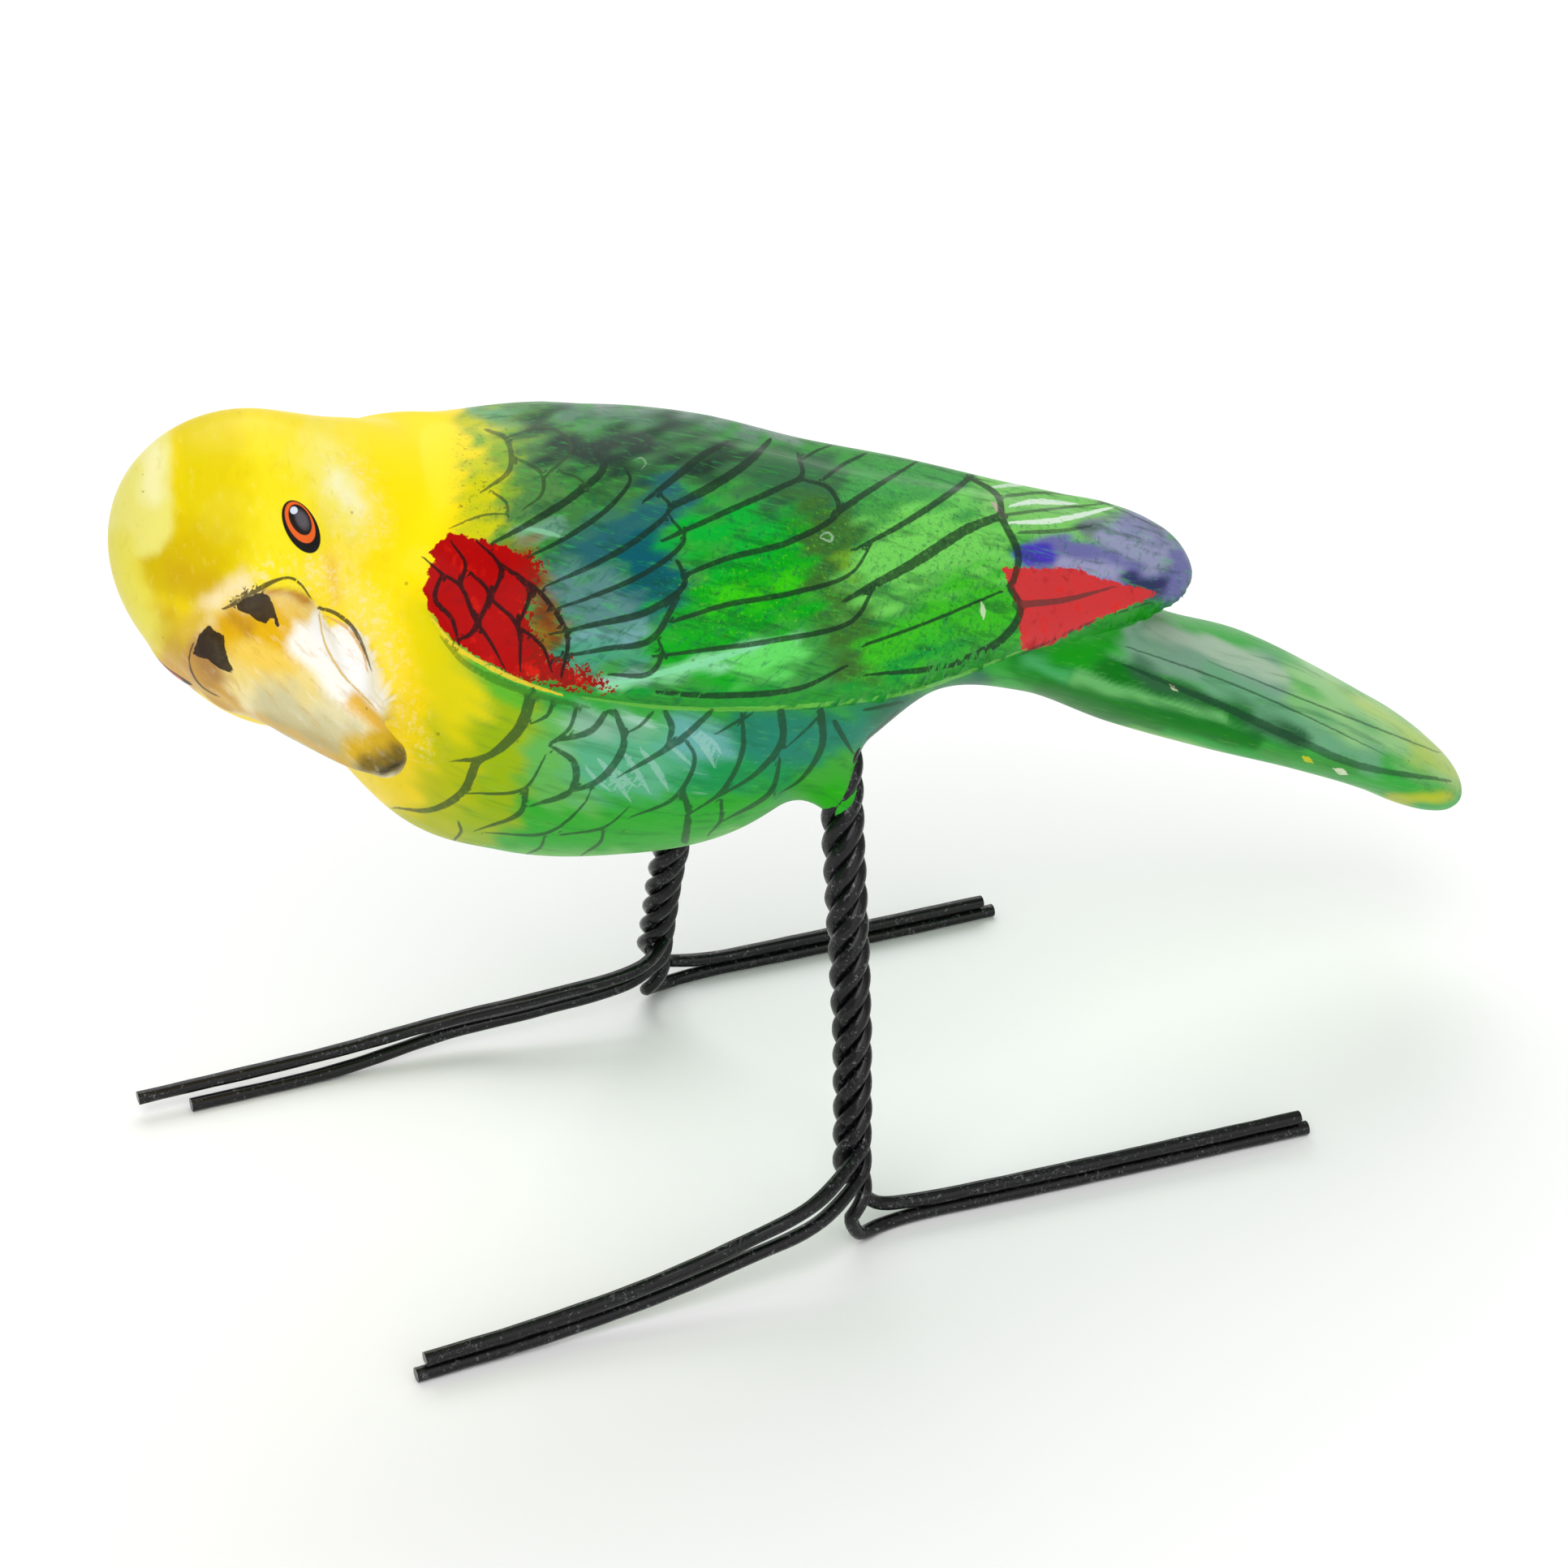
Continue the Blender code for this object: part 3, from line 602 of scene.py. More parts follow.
WING_PATCHES = [
    ((62, 150, 62), 1500, 10, [(540, 600), (1400, 700)]),
    ((246, 220, 0), 180, 60, [(500, 560), (500, 680)]),
    ((206, 204, 16), 46, 44, [(604, 530), (600, 650)]),
    ((140, 172, 44), 36, 40, [(634, 530), (628, 640)]),
    ((112, 168, 118), 24, 16, [(585, 508), (680, 506)]),
    ((82, 132, 68), 70, 44, [(664, 540), (668, 620)]),
    ((62, 122, 60), 60, 40, [(700, 640), (780, 590)]),
    ((58, 112, 66), 60, 44, [(800, 562), (940, 582)]),
    # Painted sheen: pale grey-green along the top of the back, a reflection of the lamps.
    ((94, 132, 108), 18, 20, [(700, 508), (840, 514), (930, 538)]),
    ((120, 146, 130), 10, 12, [(740, 500), (900, 518), (980, 543)]),
    ((26, 52, 38), 54, 56, [(690, 546), (790, 552), (870, 568)]),
    ((118, 168, 142), 20, 16, [(645, 655), (690, 650)]),
    ((56, 116, 90), 50, 30, [(680, 690), (760, 650)]),
    ((34, 98, 104), 46, 36, [(740, 680), (830, 620)]),
    ((84, 132, 128), 70, 34, [(700, 740), (764, 740)]),
    ((4, 88, 100), 64, 30, [(792, 690), (822, 735)]),
    ((12, 106, 100), 30, 24, [(800, 755), (830, 740)]),
    ((132, 96, 24), 34, 26, [(644, 690), (668, 740), (680, 796)]),
    ((124, 60, 18), 16, 16, [(652, 704), (672, 752), (692, 812)]),
    ((104, 60, 30), 22, 16, [(690, 824), (718, 836)]),
    ((108, 160, 160), 30, 20, [(710, 790), (790, 780)]),
    ((70, 152, 118), 34, 20, [(700, 815), (790, 805)]),
    ((0, 164, 20), 130, 60, [(880, 780), (960, 690)]),
    ((0, 172, 48), 60, 40, [(860, 660), (930, 650)]),
    ((50, 196, 10), 34, 36, [(900, 740), (970, 720)]),
    ((48, 104, 62), 60, 40, [(960, 600), (1020, 600)]),
    ((58, 108, 40), 60, 40, [(1010, 640), (1040, 740), (1060, 830)]),
    ((108, 158, 38), 20, 20, [(1046, 690), (1050, 710)]),
    ((64, 156, 72), 60, 44, [(1080, 590), (1180, 600)]),
    ((112, 206, 88), 100, 50, [(1100, 700), (1210, 660)]),
    ((56, 184, 30), 84, 40, [(1110, 800), (1230, 750)]),
    ((18, 148, 52), 30, 26, [(1110, 820), (1170, 790)]),
    ((130, 214, 150), 18, 14, [(750, 846), (860, 822), (980, 790)]),
    ((150, 190, 182), 22, 14, [(742, 840), (790, 836)]),
    ((98, 214, 98), 50, 26, [(920, 820), (960, 810)]),
    ((0, 148, 44), 26, 18, [(780, 864), (960, 866), (1100, 852)]),
    ((120, 196, 96), 90, 20, [(1244, 600), (1340, 640)]),
    ((104, 120, 120), 24, 20, [(1340, 650), (1400, 650)]),
    ((128, 130, 168), 60, 26, [(1400, 650), (1440, 680)]),
    ((106, 106, 162), 60, 14, [(1290, 690), (1440, 710)]),
    ((144, 148, 180), 34, 26, [(1370, 662), (1420, 690)]),
    ((70, 50, 182), 22, 12, [(1258, 682), (1290, 688)]),
    ((150, 150, 186), 16, 14, [(1310, 690), (1380, 712)]),
    ((50, 50, 98), 26, 18, [(1396, 716), (1430, 722)]),
    ((44, 150, 46), 18, 8, [
        (640, 840), (705, 856), (823, 866), (960, 866), (1122, 848), (1255, 804)]),
    ((10, 140, 6), 26, 10, [(1300, 808), (1370, 776), (1425, 756)]),
]
BODY_PATCHES = [
    ((52, 166, 58), 2400, 10, [(600, 900), (1700, 900)]),
    ((253, 226, 0), 200, 40, [(480, 520), (480, 700)]),
    ((253, 226, 0), 330, 40, [(360, 800), (370, 960)]),
    ((236, 210, 0), 120, 60, [(480, 830), (500, 950)]),
    ((178, 186, 0), 100, 60, [(572, 930), (546, 1010)]),
    ((150, 178, 0), 76, 50, [(626, 880), (614, 1000)]),
    ((90, 178, 40), 24, 20, [(596, 830), (640, 866)]),
    ((218, 206, 0), 60, 56, [(528, 770), (552, 828), (566, 870)]),
    ((96, 176, 80), 90, 40, [(690, 930), (700, 990)]),
    ((130, 180, 150), 60, 34, [(720, 900), (790, 920)]),
    ((86, 172, 128), 80, 40, [(740, 950), (850, 930)]),
    ((20, 146, 76), 90, 50, [(880, 950), (960, 940)]),
    ((100, 170, 162), 50, 34, [(850, 905), (880, 915)]),
    ((30, 130, 104), 70, 44, [(940, 900), (1060, 905)]),
    ((46, 168, 42), 66, 40, [(660, 1030), (800, 1036), (930, 1006)]),
    ((110, 190, 90), 14, 12, [(600, 1050), (800, 1058), (960, 1012)]),
    ((32, 108, 80), 40, 30, [(1100, 880), (1200, 845)]),
    ((58, 164, 46), 50, 24, [(1000, 975), (1050, 945)]),
    ((38, 170, 14), 36, 24, [(1010, 990), (1030, 985)]),
    ((12, 134, 24), 70, 30, [(1280, 810), (1340, 830)]),
    ((66, 166, 92), 22, 20, [(1270, 815), (1310, 830)]),
    ((10, 146, 10), 30, 20, [(1310, 808), (1370, 786), (1425, 760)]),
    # Pale grey-green on the tail's top: its green paint with a painted sheen over it.
    ((118, 160, 134), 60, 30, [(1410, 790), (1560, 845)]),
    ((160, 186, 160), 20, 16, [(1420, 775), (1580, 830)]),
    ((104, 164, 122), 50, 30, [(1500, 850), (1680, 920)]),
    ((148, 200, 132), 46, 44, [(1610, 835), (1700, 890), (1770, 940)]),
    ((170, 204, 104), 16, 18, [(1640, 838), (1720, 890), (1785, 940)]),
    ((0, 112, 14), 28, 14, [(1370, 826), (1440, 850), (1530, 885)]),
    ((100, 178, 100), 22, 10, [(1330, 838), (1400, 860), (1500, 890)]),
    ((0, 120, 12), 34, 12, [(1290, 854), (1400, 880), (1540, 914)]),
    ((40, 92, 56), 20, 24, [(1400, 826), (1511, 872), (1600, 910)]),
    ((0, 160, 40), 14, 10, [(1440, 905), (1500, 920), (1560, 938)]),
    ((58, 150, 56), 20, 14, [(1560, 925), (1660, 950)]),
    ((112, 190, 80), 9, 8, [(1200, 862), (1400, 900), (1600, 957), (1700, 984)]),
    ((176, 190, 30), 9, 10, [(1710, 986), (1785, 982)]),
    ((170, 200, 90), 40, 30, [(1760, 926), (1795, 950)]),
]
# The third plain colour is a painted sheen: a paler grey-green for where the tail's top faces up.
PLAIN_YELLOW, PLAIN_GREEN, PLAIN_TAIL_SHEEN = (250, 218, 10), (58, 165, 66), (104, 160, 112)


def linear(colour):
    """A screen colour of 0 to 255 as light."""
    share = np.asarray(colour, float) / 255
    return np.where(share < 0.04045, share / 12.92, ((share + 0.055) / 1.055)**2.4)


def waves(points, size, turn):
    """A cheap ragged value between about -1 and 1, with bumps of about that size."""
    x, y = points[:, 0] / size, points[:, 1] / size
    return (np.sin(2.1 * x + 1.3 * y + turn) + np.sin(-1.2 * x + 2.6 * y + 2.3 * turn)
            + np.sin(3.7 * x - 0.8 * y + 1.7 * turn)) / 3


def from_line(points, line):
    """The distance of each point from a line of straight stretches."""
    nearest = np.full(len(points), np.inf)
    line = np.array(line, float)
    for a, b in zip(line, line[1:]):
        along = b - a
        t = np.clip((points - a) @ along / max(along @ along, 1e-9), 0, 1)
        nearest = np.minimum(nearest, np.linalg.norm(points - a - t[:, None] * along, axis=1))
    return nearest


def inside_outline(points, outline):
    """The distance from an outline, less than nought inside it."""
    outline = np.array(outline + outline[:1], float)
    crossings = np.zeros(len(points), int)
    for (ax, ay), (bx, by) in zip(outline, outline[1:]):
        between = (ay > points[:, 1]) != (by > points[:, 1])
        at = ax + (points[:, 1] - ay) * (bx - ax) / (by - ay if by != ay else 1e-9)
        crossings += between & (points[:, 0] < at)
    return from_line(points, outline) * np.where(crossings % 2, -1, 1)


def along_brush(lean, stretch):
    """The vertices' pixels, pressed together along the way of the brush."""
    c, s = math.cos(math.radians(lean)), math.sin(math.radians(lean))
    return np.stack([(pixel @ (c, s)) / stretch, pixel @ (-s, c)], 1)


def mixed(under, over, share):
    """A share of the upper colour over the rest of the lower one."""
    return under * (1 - share) + over * share


def lay_patches(patches, lean, stretch, roughness):
    """The colour at each vertex once all the patches of a list are on it, brushed along one way."""
    paint = np.zeros((len(pixel), 3))
    brushed = along_brush(lean, stretch)
    for number, (colour, width, softness, line) in enumerate(patches):
        ragged = waves(brushed, 24, number) + 0.9 * waves(brushed, 8, number + 2)
        depth = width / 2 - from_line(pixel, line) + roughness * softness * ragged
        cover = ramp(depth, -softness / 2, softness / 2)[:, None]
        paint = mixed(paint, linear(colour), cover)
    return paint


WING_FRONT = [
    (550, 480), (544, 640), (530, 664), (519, 700), (519, 724), (530, 758), (558, 792), (600, 818),
    (640, 837), (660, 842), (720, 700), (720, 480),
]
body_form, wings_form, beak_form, _ = bird_forms(skin_points)
from_front = inside_outline(pixel, WING_FRONT)
behind_front = skin_points[:, 0] - through(WING_FRONT_EDGE, skin_points[:, 2])
on_neck = ramp(skin_points[:, 2], 68, 72)
is_wing = ramp(body_form - wings_form, -0.1, 0.25)
is_wing = is_wing * (1 - on_neck * ramp(behind_front, 5.0, 0.0))
is_wing = np.maximum(is_wing, ramp(-from_front, -4, 6 + 24 * on_neck) * pictured)[:, None]
is_beak = ramp(body_form - beak_form, -0.1, 0.3)[:, None]
face_share = ramp(-skin_points[:, 0], 36, 42)[:, None]
yellow_share = ramp(-skin_points[:, 0] + 0.4 * (skin_points[:, 2] - 50), 20, 34)[:, None]
# Painted sheen: the plain green turns paler and greyer where the tail's top faces up.
sheen_on_tail_top = ramp(skin_points[:, 0], 33, 39) * ramp(slope_of_clay(skin_points)[:, 2], 0.0, 0.5)
plain_green = linear(PLAIN_GREEN) + (linear(PLAIN_TAIL_SHEEN) - linear(PLAIN_GREEN)) * sheen_on_tail_top[:, None]
plain = mixed(plain_green, linear(PLAIN_YELLOW), yellow_share)
paint = mixed(lay_patches(BODY_PATCHES, 25, 5, 0.35), lay_patches(FACE_PATCHES, 60, 2, 0.14), face_share)
paint = mixed(paint, lay_patches(WING_PATCHES, -22, 4, 0.5), is_wing)
paint = mixed(plain, paint, pictured[:, None])
paint = mixed(paint, lay_patches(BEAK_PATCHES, 42, 4, 0.3), is_beak)
print("mean colour of the paint", paint.mean(0).round(3))

# %% [markdown]
# ## Lines of the fine brush
# The feathers are outlined with a fine brush, which swells and thins as it is pressed. A line is the widths
# of its start, middle and end, and the points it goes through. A line is thinner than a cell of the mesh,
# so its colour isn't painted on the vertices. They hold the distance to the nearest line instead, with a
# sign that changes across it. A distance changes evenly from vertex to vertex, so the material can cut a
# sharp line out of it.

# %% Lines of the fine brush
SHOULDER_LINES = [
    ((2, 6, 2), [(522, 687), (544, 706), (567, 722), (585, 762), (606, 794), (623, 826)]),
    ((4, 7, 2), [(545, 706), (536, 738), (557, 763), (565, 794)]),
    ((6, 7, 3), [(588, 770), (579, 782), (566, 787)]),
    ((2, 5, 5), [(556, 668), (573, 694), (567, 721)]),
    ((4, 6, 7), [(573, 700), (602, 731), (588, 770)]),
    ((2, 6, 5), [(587, 666), (617, 700), (605, 738)]),
    ((5, 6, 2), [(605, 738), (637, 771), (641, 828)]),
    ((4, 7, 4), [(616, 694), (652, 728), (639, 769)]),
    ((3, 7, 4), [(617, 694), (668, 733), (699, 785), (692, 833)]),
    ((4, 5, 2), [(634, 769), (668, 796), (680, 828)]),
]
NECK_LINES = [
    ((5, 8, 3), [(600, 530), (624, 541), (628, 578), (594, 606)]),
    ((5, 6, 2), [(635, 564), (667, 583), (668, 608), (644, 628)]),
    ((3, 5, 3), [(607, 606), (624, 620), (626, 637)]),
    ((3, 6, 4), [(626, 538), (676, 527), (704, 550), (670, 589)]),
    ((3, 4, 3), [(691, 581), (714, 590), (726, 605)]),
    ((2, 4, 2), [(556, 650), (595, 635), (626, 633)]),
]
FIRST_ROW_LINES = [
    ((4, 11, 9), [(605, 670), (647, 648), (705, 612), (744, 575), (735, 558)]),
    ((3, 8, 4), [(650, 687), (705, 658), (755, 621), (777, 590), (773, 583)]),
    ((3, 9, 4), [(673, 722), (735, 694), (793, 659), (826, 625), (812, 608)]),
    ((2, 8, 4), [(673, 754), (735, 733), (805, 700), (843, 664), (826, 637)]),
    ((3, 10, 6), [(676, 782), (735, 769), (799, 753), (844, 718), (835, 692)]),
    ((2, 9, 8), [(682, 811), (743, 800), (802, 788), (834, 738)]),
    ((4, 8, 3), [(811, 788), (816, 806), (800, 830), (750, 831)]),
]
SECOND_ROW_LINES = [
    ((4, 11, 5), [(793, 618), (831, 589), (864, 562), (895, 545)]),
    ((9, 13, 7), [(826, 625), (881, 597), (927, 565), (948, 543)]),
    ((5, 9, 6), [(817, 666), (896, 630), (958, 602), (988, 585), (984, 561)]),
    ((6, 9, 5), [(843, 709), (896, 688), (974, 667), (1033, 630), (1022, 602), (990, 591)]),
    ((6, 8, 3), [(831, 765), (896, 745), (974, 731), (1048, 707), (1074, 670)]),
    ((4, 8, 5), [(805, 809), (875, 800), (948, 790), (1050, 765), (1076, 726)]),
    ((6, 9, 4), [(811, 853), (881, 857), (985, 848), (1042, 821)]),
]
THIRD_ROW_LINES = [
    ((5, 6, 3), [(1015, 590), (1038, 573), (1066, 559)]),
    ((4, 4, 2), [(987, 567), (1007, 555), (1026, 548)]),
    ((10, 8, 3), [(1028, 633), (1085, 596), (1131, 568)]),
    ((4, 9, 8), [(1052, 678), (1110, 647), (1170, 608), (1198, 586)]),
    ((6, 15, 11), [(1041, 740), (1059, 730), (1122, 696), (1192, 652), (1229, 637)]),
    ((5, 5, 4), [(1065, 795), (1140, 768), (1233, 729)]),
    ((5, 10, 9), [(1192, 587), (1229, 611), (1236, 640), (1255, 685), (1248, 718)]),
    ((9, 11, 3), [(1244, 722), (1257, 752), (1234, 788), (1165, 820), (1066, 832)]),
]
BELLY_LINES = [
    ((20, 17, 2), [(656, 853), (640, 897), (600, 932), (556, 938)]),
    ((17, 12, 2), [(587, 939), (570, 976), (530, 998), (485, 995)]),
    ((7, 7, 3), [(682, 865), (674, 882), (656, 891)]),
    ((7, 7, 4), [(710, 872), (702, 897), (684, 912)]),
    ((9, 11, 4), [(747, 877), (729, 900), (678, 914)]),
    ((3, 13, 3), [(673, 916), (708, 941), (704, 973), (652, 994)]),
    ((9, 13, 3), [(758, 876), (769, 915), (740, 960), (689, 979)]),
    ((7, 6, 3), [(803, 879), (790, 893), (773, 903)]),
    ((9, 11, 5), [(820, 878), (828, 897), (822, 917)]),
    ((9, 11, 2), [(876, 877), (841, 909), (806, 932), (760, 958)]),
    ((6, 8, 2), [(843, 909), (856, 935), (832, 982), (774, 1008)]),
    ((7, 9, 2), [(914, 881), (915, 925), (890, 974), (848, 1004)]),
    ((14, 10, 3), [(962, 877), (964, 912), (935, 950), (884, 983)]),
    ((14, 10, 2), [(1011, 876), (1013, 918), (988, 959), (958, 979)]),
    ((10, 9, 3), [(1029, 891), (1040, 910), (1051, 928)]),
    ((9, 12, 14), [(841, 973), (848, 1001), (844, 1035)]),
    ((6, 9, 2), [(961, 936), (950, 975), (889, 1013)]),
    ((6, 6, 2), [(889, 986), (887, 1012), (872, 1029)]),
    ((3, 6, 2), [(672, 932), (645, 972), (571, 978)]),
    ((11, 8, 2), [(648, 972), (642, 1000), (585, 1024)]),
    ((4, 6, 2), [(565, 1014), (568, 1024), (557, 1038)]),
    ((2, 6, 2), [(598, 1026), (675, 1026), (718, 992), (729, 972)]),
    ((4, 5, 2), [(671, 1031), (666, 1044), (649, 1052)]),
    ((4, 5, 2), [(690, 1029), (745, 1019), (775, 995)]),
    ((4, 6, 2), [(744, 1021), (740, 1037), (716, 1054)]),
    ((4, 6, 2), [(926, 879), (905, 891), (881, 905)]),
    ((4, 5, 2), [(1011, 881), (992, 900), (968, 922)]),
    ((5, 6, 4), [(1066, 875), (1089, 870), (1112, 865)]),
    ((4, 5, 4), [(1107, 876), (1088, 893), (1068, 910)]),
]
# Painted shadow: a soft dark line just under the wing's front lip, where its shadow falls.
WING_LIP_SHADOW_LINES = [
    ((3, 10, 3), [(544, 786), (572, 816), (612, 838), (664, 857), (726, 872)]),
]
TAIL_LINES = [
    ((3, 12, 4), [(1385, 819), (1437, 841), (1511, 872), (1581, 904), (1674, 943), (1785, 962)]),
    ((2, 3, 1), [(1389, 797), (1504, 837), (1600, 878), (1711, 932)]),
    ((1, 3, 2), [(1489, 815), (1637, 874), (1772, 927)]),
]
WING_END_LINES = [
    ((5, 4, 2), [(1240, 611), (1288, 607), (1325, 611)]),
    ((5, 4, 2), [(1242, 634), (1288, 628), (1366, 620)]),
    ((4, 6, 3), [(1257, 656), (1307, 654), (1344, 648)]),
    ((10, 8, 2), [(1251, 745), (1307, 740), (1374, 723)]),
    ((3, 4, 2), [(1259, 806), (1344, 767), (1418, 742)]),
    ((3, 2, 3), [(1196, 584), (1325, 607), (1433, 652)]),
]
FACE_LINES = [
    ((3, 9, 4), [(276, 750), (300, 738), (322, 724), (345, 713)]),
    ((4, 4, 2), [(345, 713), (358, 712), (370, 719), (382, 736)]),
    ((1, 3, 3), [(300, 724), (304, 731), (308, 738)]),
    ((1, 3, 3), [(316, 721), (319, 728), (322, 734)]),
    ((1, 3, 3), [(287, 736), (292, 740), (298, 745)]),
    # The arc at the beak's left edge is a painted outline with painted shade along it.
    ((2, 3, 2), [(238, 792), (233, 812), (238, 832), (250, 847), (268, 858)]),
    ((5, 6, 1), [(394, 749), (412, 755), (430, 768), (443, 787), (451, 806), (458, 828)]),
]
THIN_WHITE = (166, 208, 196)
PALE_LINES = [
    ((236, 206, 50), (2, 6, 3), [(532, 762), (558, 794), (600, 820), (640, 839), (690, 856)]),
    ((104, 190, 70), (3, 6, 2), [(720, 860), (823, 872), (960, 872), (1122, 852), (1233, 812), (1263, 800)]),
    ((130, 214, 160), (3, 8, 2), [(749, 844), (860, 818), (960, 788)]),
    ((130, 190, 150), (2, 6, 2), [(641, 650), (668, 655), (694, 662)]),
    ((205, 228, 205), (3, 5, 2), [(1224, 600), (1255, 597), (1285, 598)]),
    ((222, 238, 222), (3, 7, 2), [(1246, 623), (1274, 618), (1325, 621)]),
    ((222, 238, 222), (3, 7, 2), [(1244, 644), (1300, 641), (1372, 625)]),
    (THIN_WHITE, (4, 8, 2), [(738, 936), (756, 958), (776, 986)]),
    (THIN_WHITE, (3, 6, 1), [(756, 946), (774, 962), (784, 970)]),
    (THIN_WHITE, (4, 7, 2), [(770, 930), (784, 950), (800, 976)]),
    (THIN_WHITE, (3, 5, 1), [(722, 946), (736, 962), (752, 974)]),
    (THIN_WHITE, (4, 9, 2), [(790, 924), (808, 946), (823, 972)]),
    (THIN_WHITE, (4, 6, 2), [(822, 914), (836, 928), (850, 940)]),
    (THIN_WHITE, (5, 9, 2), [(848, 900), (866, 918), (880, 944)]),
    (THIN_WHITE, (3, 6, 1), [(864, 902), (880, 916), (890, 930)]),
    ((222, 184, 84), (2, 3, 2), [(393, 757), (400, 792), (420, 828), (445, 855), (462, 872)]),
    ((228, 178, 104), (2, 5, 2), [(402, 759), (428, 774), (446, 800), (453, 826)]),
    ((190, 170, 160), (4, 8, 4), [(1224, 620), (1231, 628), (1238, 637)]),
    ((150, 184, 150), (2, 3, 2), [(1012, 660), (1018, 656), (1026, 661), (1024, 667), (1015, 664)]),
    ((200, 222, 180), (3, 7, 3), [(1210, 744), (1212, 760)]),
    # Painted highlight: a small glint on the tail.
    ((210, 216, 176), (3, 6, 3), [(1443, 846), (1448, 850)]),
    ((130, 162, 130), (1, 2, 1), [(783, 566), (790, 564), (796, 571), (791, 577)]),
    # Painted highlight: a small glint on the tail.
    ((226, 232, 200), (4, 8, 4), [(1646, 948), (1658, 953)]),
    ((204, 204, 20), (4, 9, 4), [(1607, 934), (1615, 938)]),
]
THIN_COVER, FULL_COVER = 0.42, 0.85   # how much the thin white and the other pale paint hide
PIXELS_PER_MM = 14.0


def brush_samples(lines, step=2.0):
    """Dense places along each line, with the way that the brush went and half its width there."""
    rows = []
    for number, (widths, points) in enumerate(lines):
        points = np.array(points, float)
        gaps = np.linalg.norm(np.diff(points, axis=0), axis=1)
        path = smooth_path(points, [max(2, round(gap / step)) for gap in gaps])
        t = np.linspace(0, 1, len(path))
        start, middle, end = widths
        width = start * (1 - t)**2 + 2 * (2 * middle - (start + end) / 2) * t * (1 - t) + end * t**2
        way = np.gradient(path, axis=0)
        way /= np.linalg.norm(way, axis=1)[:, None]
        rows.append(np.column_stack([path, way, np.maximum(width, 0.5) / 2, np.full(len(path), number)]))
    return np.concatenate(rows)


def nearest_line(lines):
    """Each vertex's signed and plain distance from the nearest line, with its half width and number."""
    samples = brush_samples(lines)
    finder = kdtree.KDTree(len(samples))
    for i, row in enumerate(samples):
        finder.insert((row[0], row[1], 0), i)
    finder.balance()
    nearest = np.array([finder.find((x, y, 0))[1] for x, y in pixel])
    row = samples[nearest]
    away = pixel - row[:, :2]
    distance = np.linalg.norm(away, axis=1)
    side = np.where(row[:, 2] * away[:, 1] - row[:, 3] * away[:, 0] < 0, -1, 1)
    return side * distance, distance, row[:, 4], row[:, 5].astype(int)


def store(name, kind, values):
    """Keeps a value, vector or colour on each vertex of the bird."""
    attribute = bird.data.attributes.new(name, kind, "POINT")
    field = {"FLOAT": "value", "FLOAT_VECTOR": "vector", "FLOAT_COLOR": "color"}[kind]
    attribute.data.foreach_set(field, np.ascontiguousarray(values, np.float32).ravel())


def store_lines(name, lines):
    """Keeps the distance from the nearest line, and says which line that is."""
    signed, distance, half_width, number = nearest_line(lines)
    half_width = half_width * ramp(pictured, 0.3, 0.8) * line_share
    store(name, "FLOAT_VECTOR", np.stack([signed, distance, half_width], 1) / PIXELS_PER_MM)
    return number


DARK_GROUPS = [
    # lines, how wide they are against the list, colour and how thick the paint is
    (SHOULDER_LINES, 0.95, (30, 12, 14), 0.92),
    (NECK_LINES, 0.85, (44, 66, 36), 0.72),
    (FIRST_ROW_LINES + SECOND_ROW_LINES + THIRD_ROW_LINES, 0.88, (22, 46, 30), 0.86),
    (BELLY_LINES, 0.72, (26, 66, 36), 0.80),
    # painted shadow under the wing's front lip
    (WING_LIP_SHADOW_LINES, 1.0, (44, 92, 16), 0.50),
    (TAIL_LINES, 0.9, (22, 60, 38), 0.66),
    (WING_END_LINES, 0.9, (46, 56, 52), 0.70),
    (FACE_LINES, 0.85, (62, 48, 26), 0.88),
]
dark_lines, dark_colours = [], []
for lines, share, colour, opacity in DARK_GROUPS:
    dark_lines += [([share * width for width in widths], points) for widths, points in lines]
    dark_colours += [(*linear(colour), opacity)] * len(lines)
dark_number = store_lines("dark_line", dark_lines)
store("dark_colour", "FLOAT_COLOR", np.array(dark_colours)[dark_number])
pale_number = store_lines("pale_line", [line[1:] for line in PALE_LINES])
pale_colours = linear([line[0] for line in PALE_LINES])[pale_number]
thin_paint = np.array([line[0] == THIN_WHITE for line in PALE_LINES])[pale_number]
pale_strength = np.where(thin_paint, THIN_COVER, FULL_COVER)
store("pale_colour", "FLOAT_COLOR", np.column_stack([pale_colours, pale_strength]))
print(len(dark_lines), "dark lines and", len(PALE_LINES), "pale ones")

# %% [markdown]
# ## Red patches and nostrils
# The red on the shoulder and on the wing tip has crisp ragged edges, and so have the black nostrils. They are
# kept as the distance from the edge of an outline, less than nought inside, so that the material can cut
# them as sharply as the lines. The rear of the shoulder patch is worn to specks, and a number of its own
# says how much.

# %% Red patches and nostrils
RED_SHOULDER = [
    (556, 656), (603, 668), (655, 685), (669, 700), (650, 744), (650, 767), (672, 800), (711, 823),
    (754, 846), (699, 850), (640, 836), (597, 815), (559, 792), (530, 755), (521, 722), (532, 712),
    (526, 704), (538, 690), (530, 681), (544, 666),
]
RED_TIP = [
    (1235, 700), (1263, 699), (1330, 702), (1366, 716), (1429, 730), (1344, 767), (1288, 796),
    (1259, 808), (1257, 759), (1246, 728),
]
NOSTRILS = [
    [(286, 748), (300, 738), (320, 730), (331, 733), (337, 745), (341, 760), (347, 779), (338, 768),
     (334, 760), (328, 769), (318, 765), (306, 757), (296, 752)],
    [(258, 770), (266, 779), (276, 780), (277, 800), (283, 816), (289, 830), (270, 824), (256, 812),
     (237, 808), (240, 796), (247, 780)],
]
EDGE_REACH = 3               # distances from an edge are kept up to this many mm
PICTURED_FROM = 0.4          # skin that the picture shows less than this gets no outline

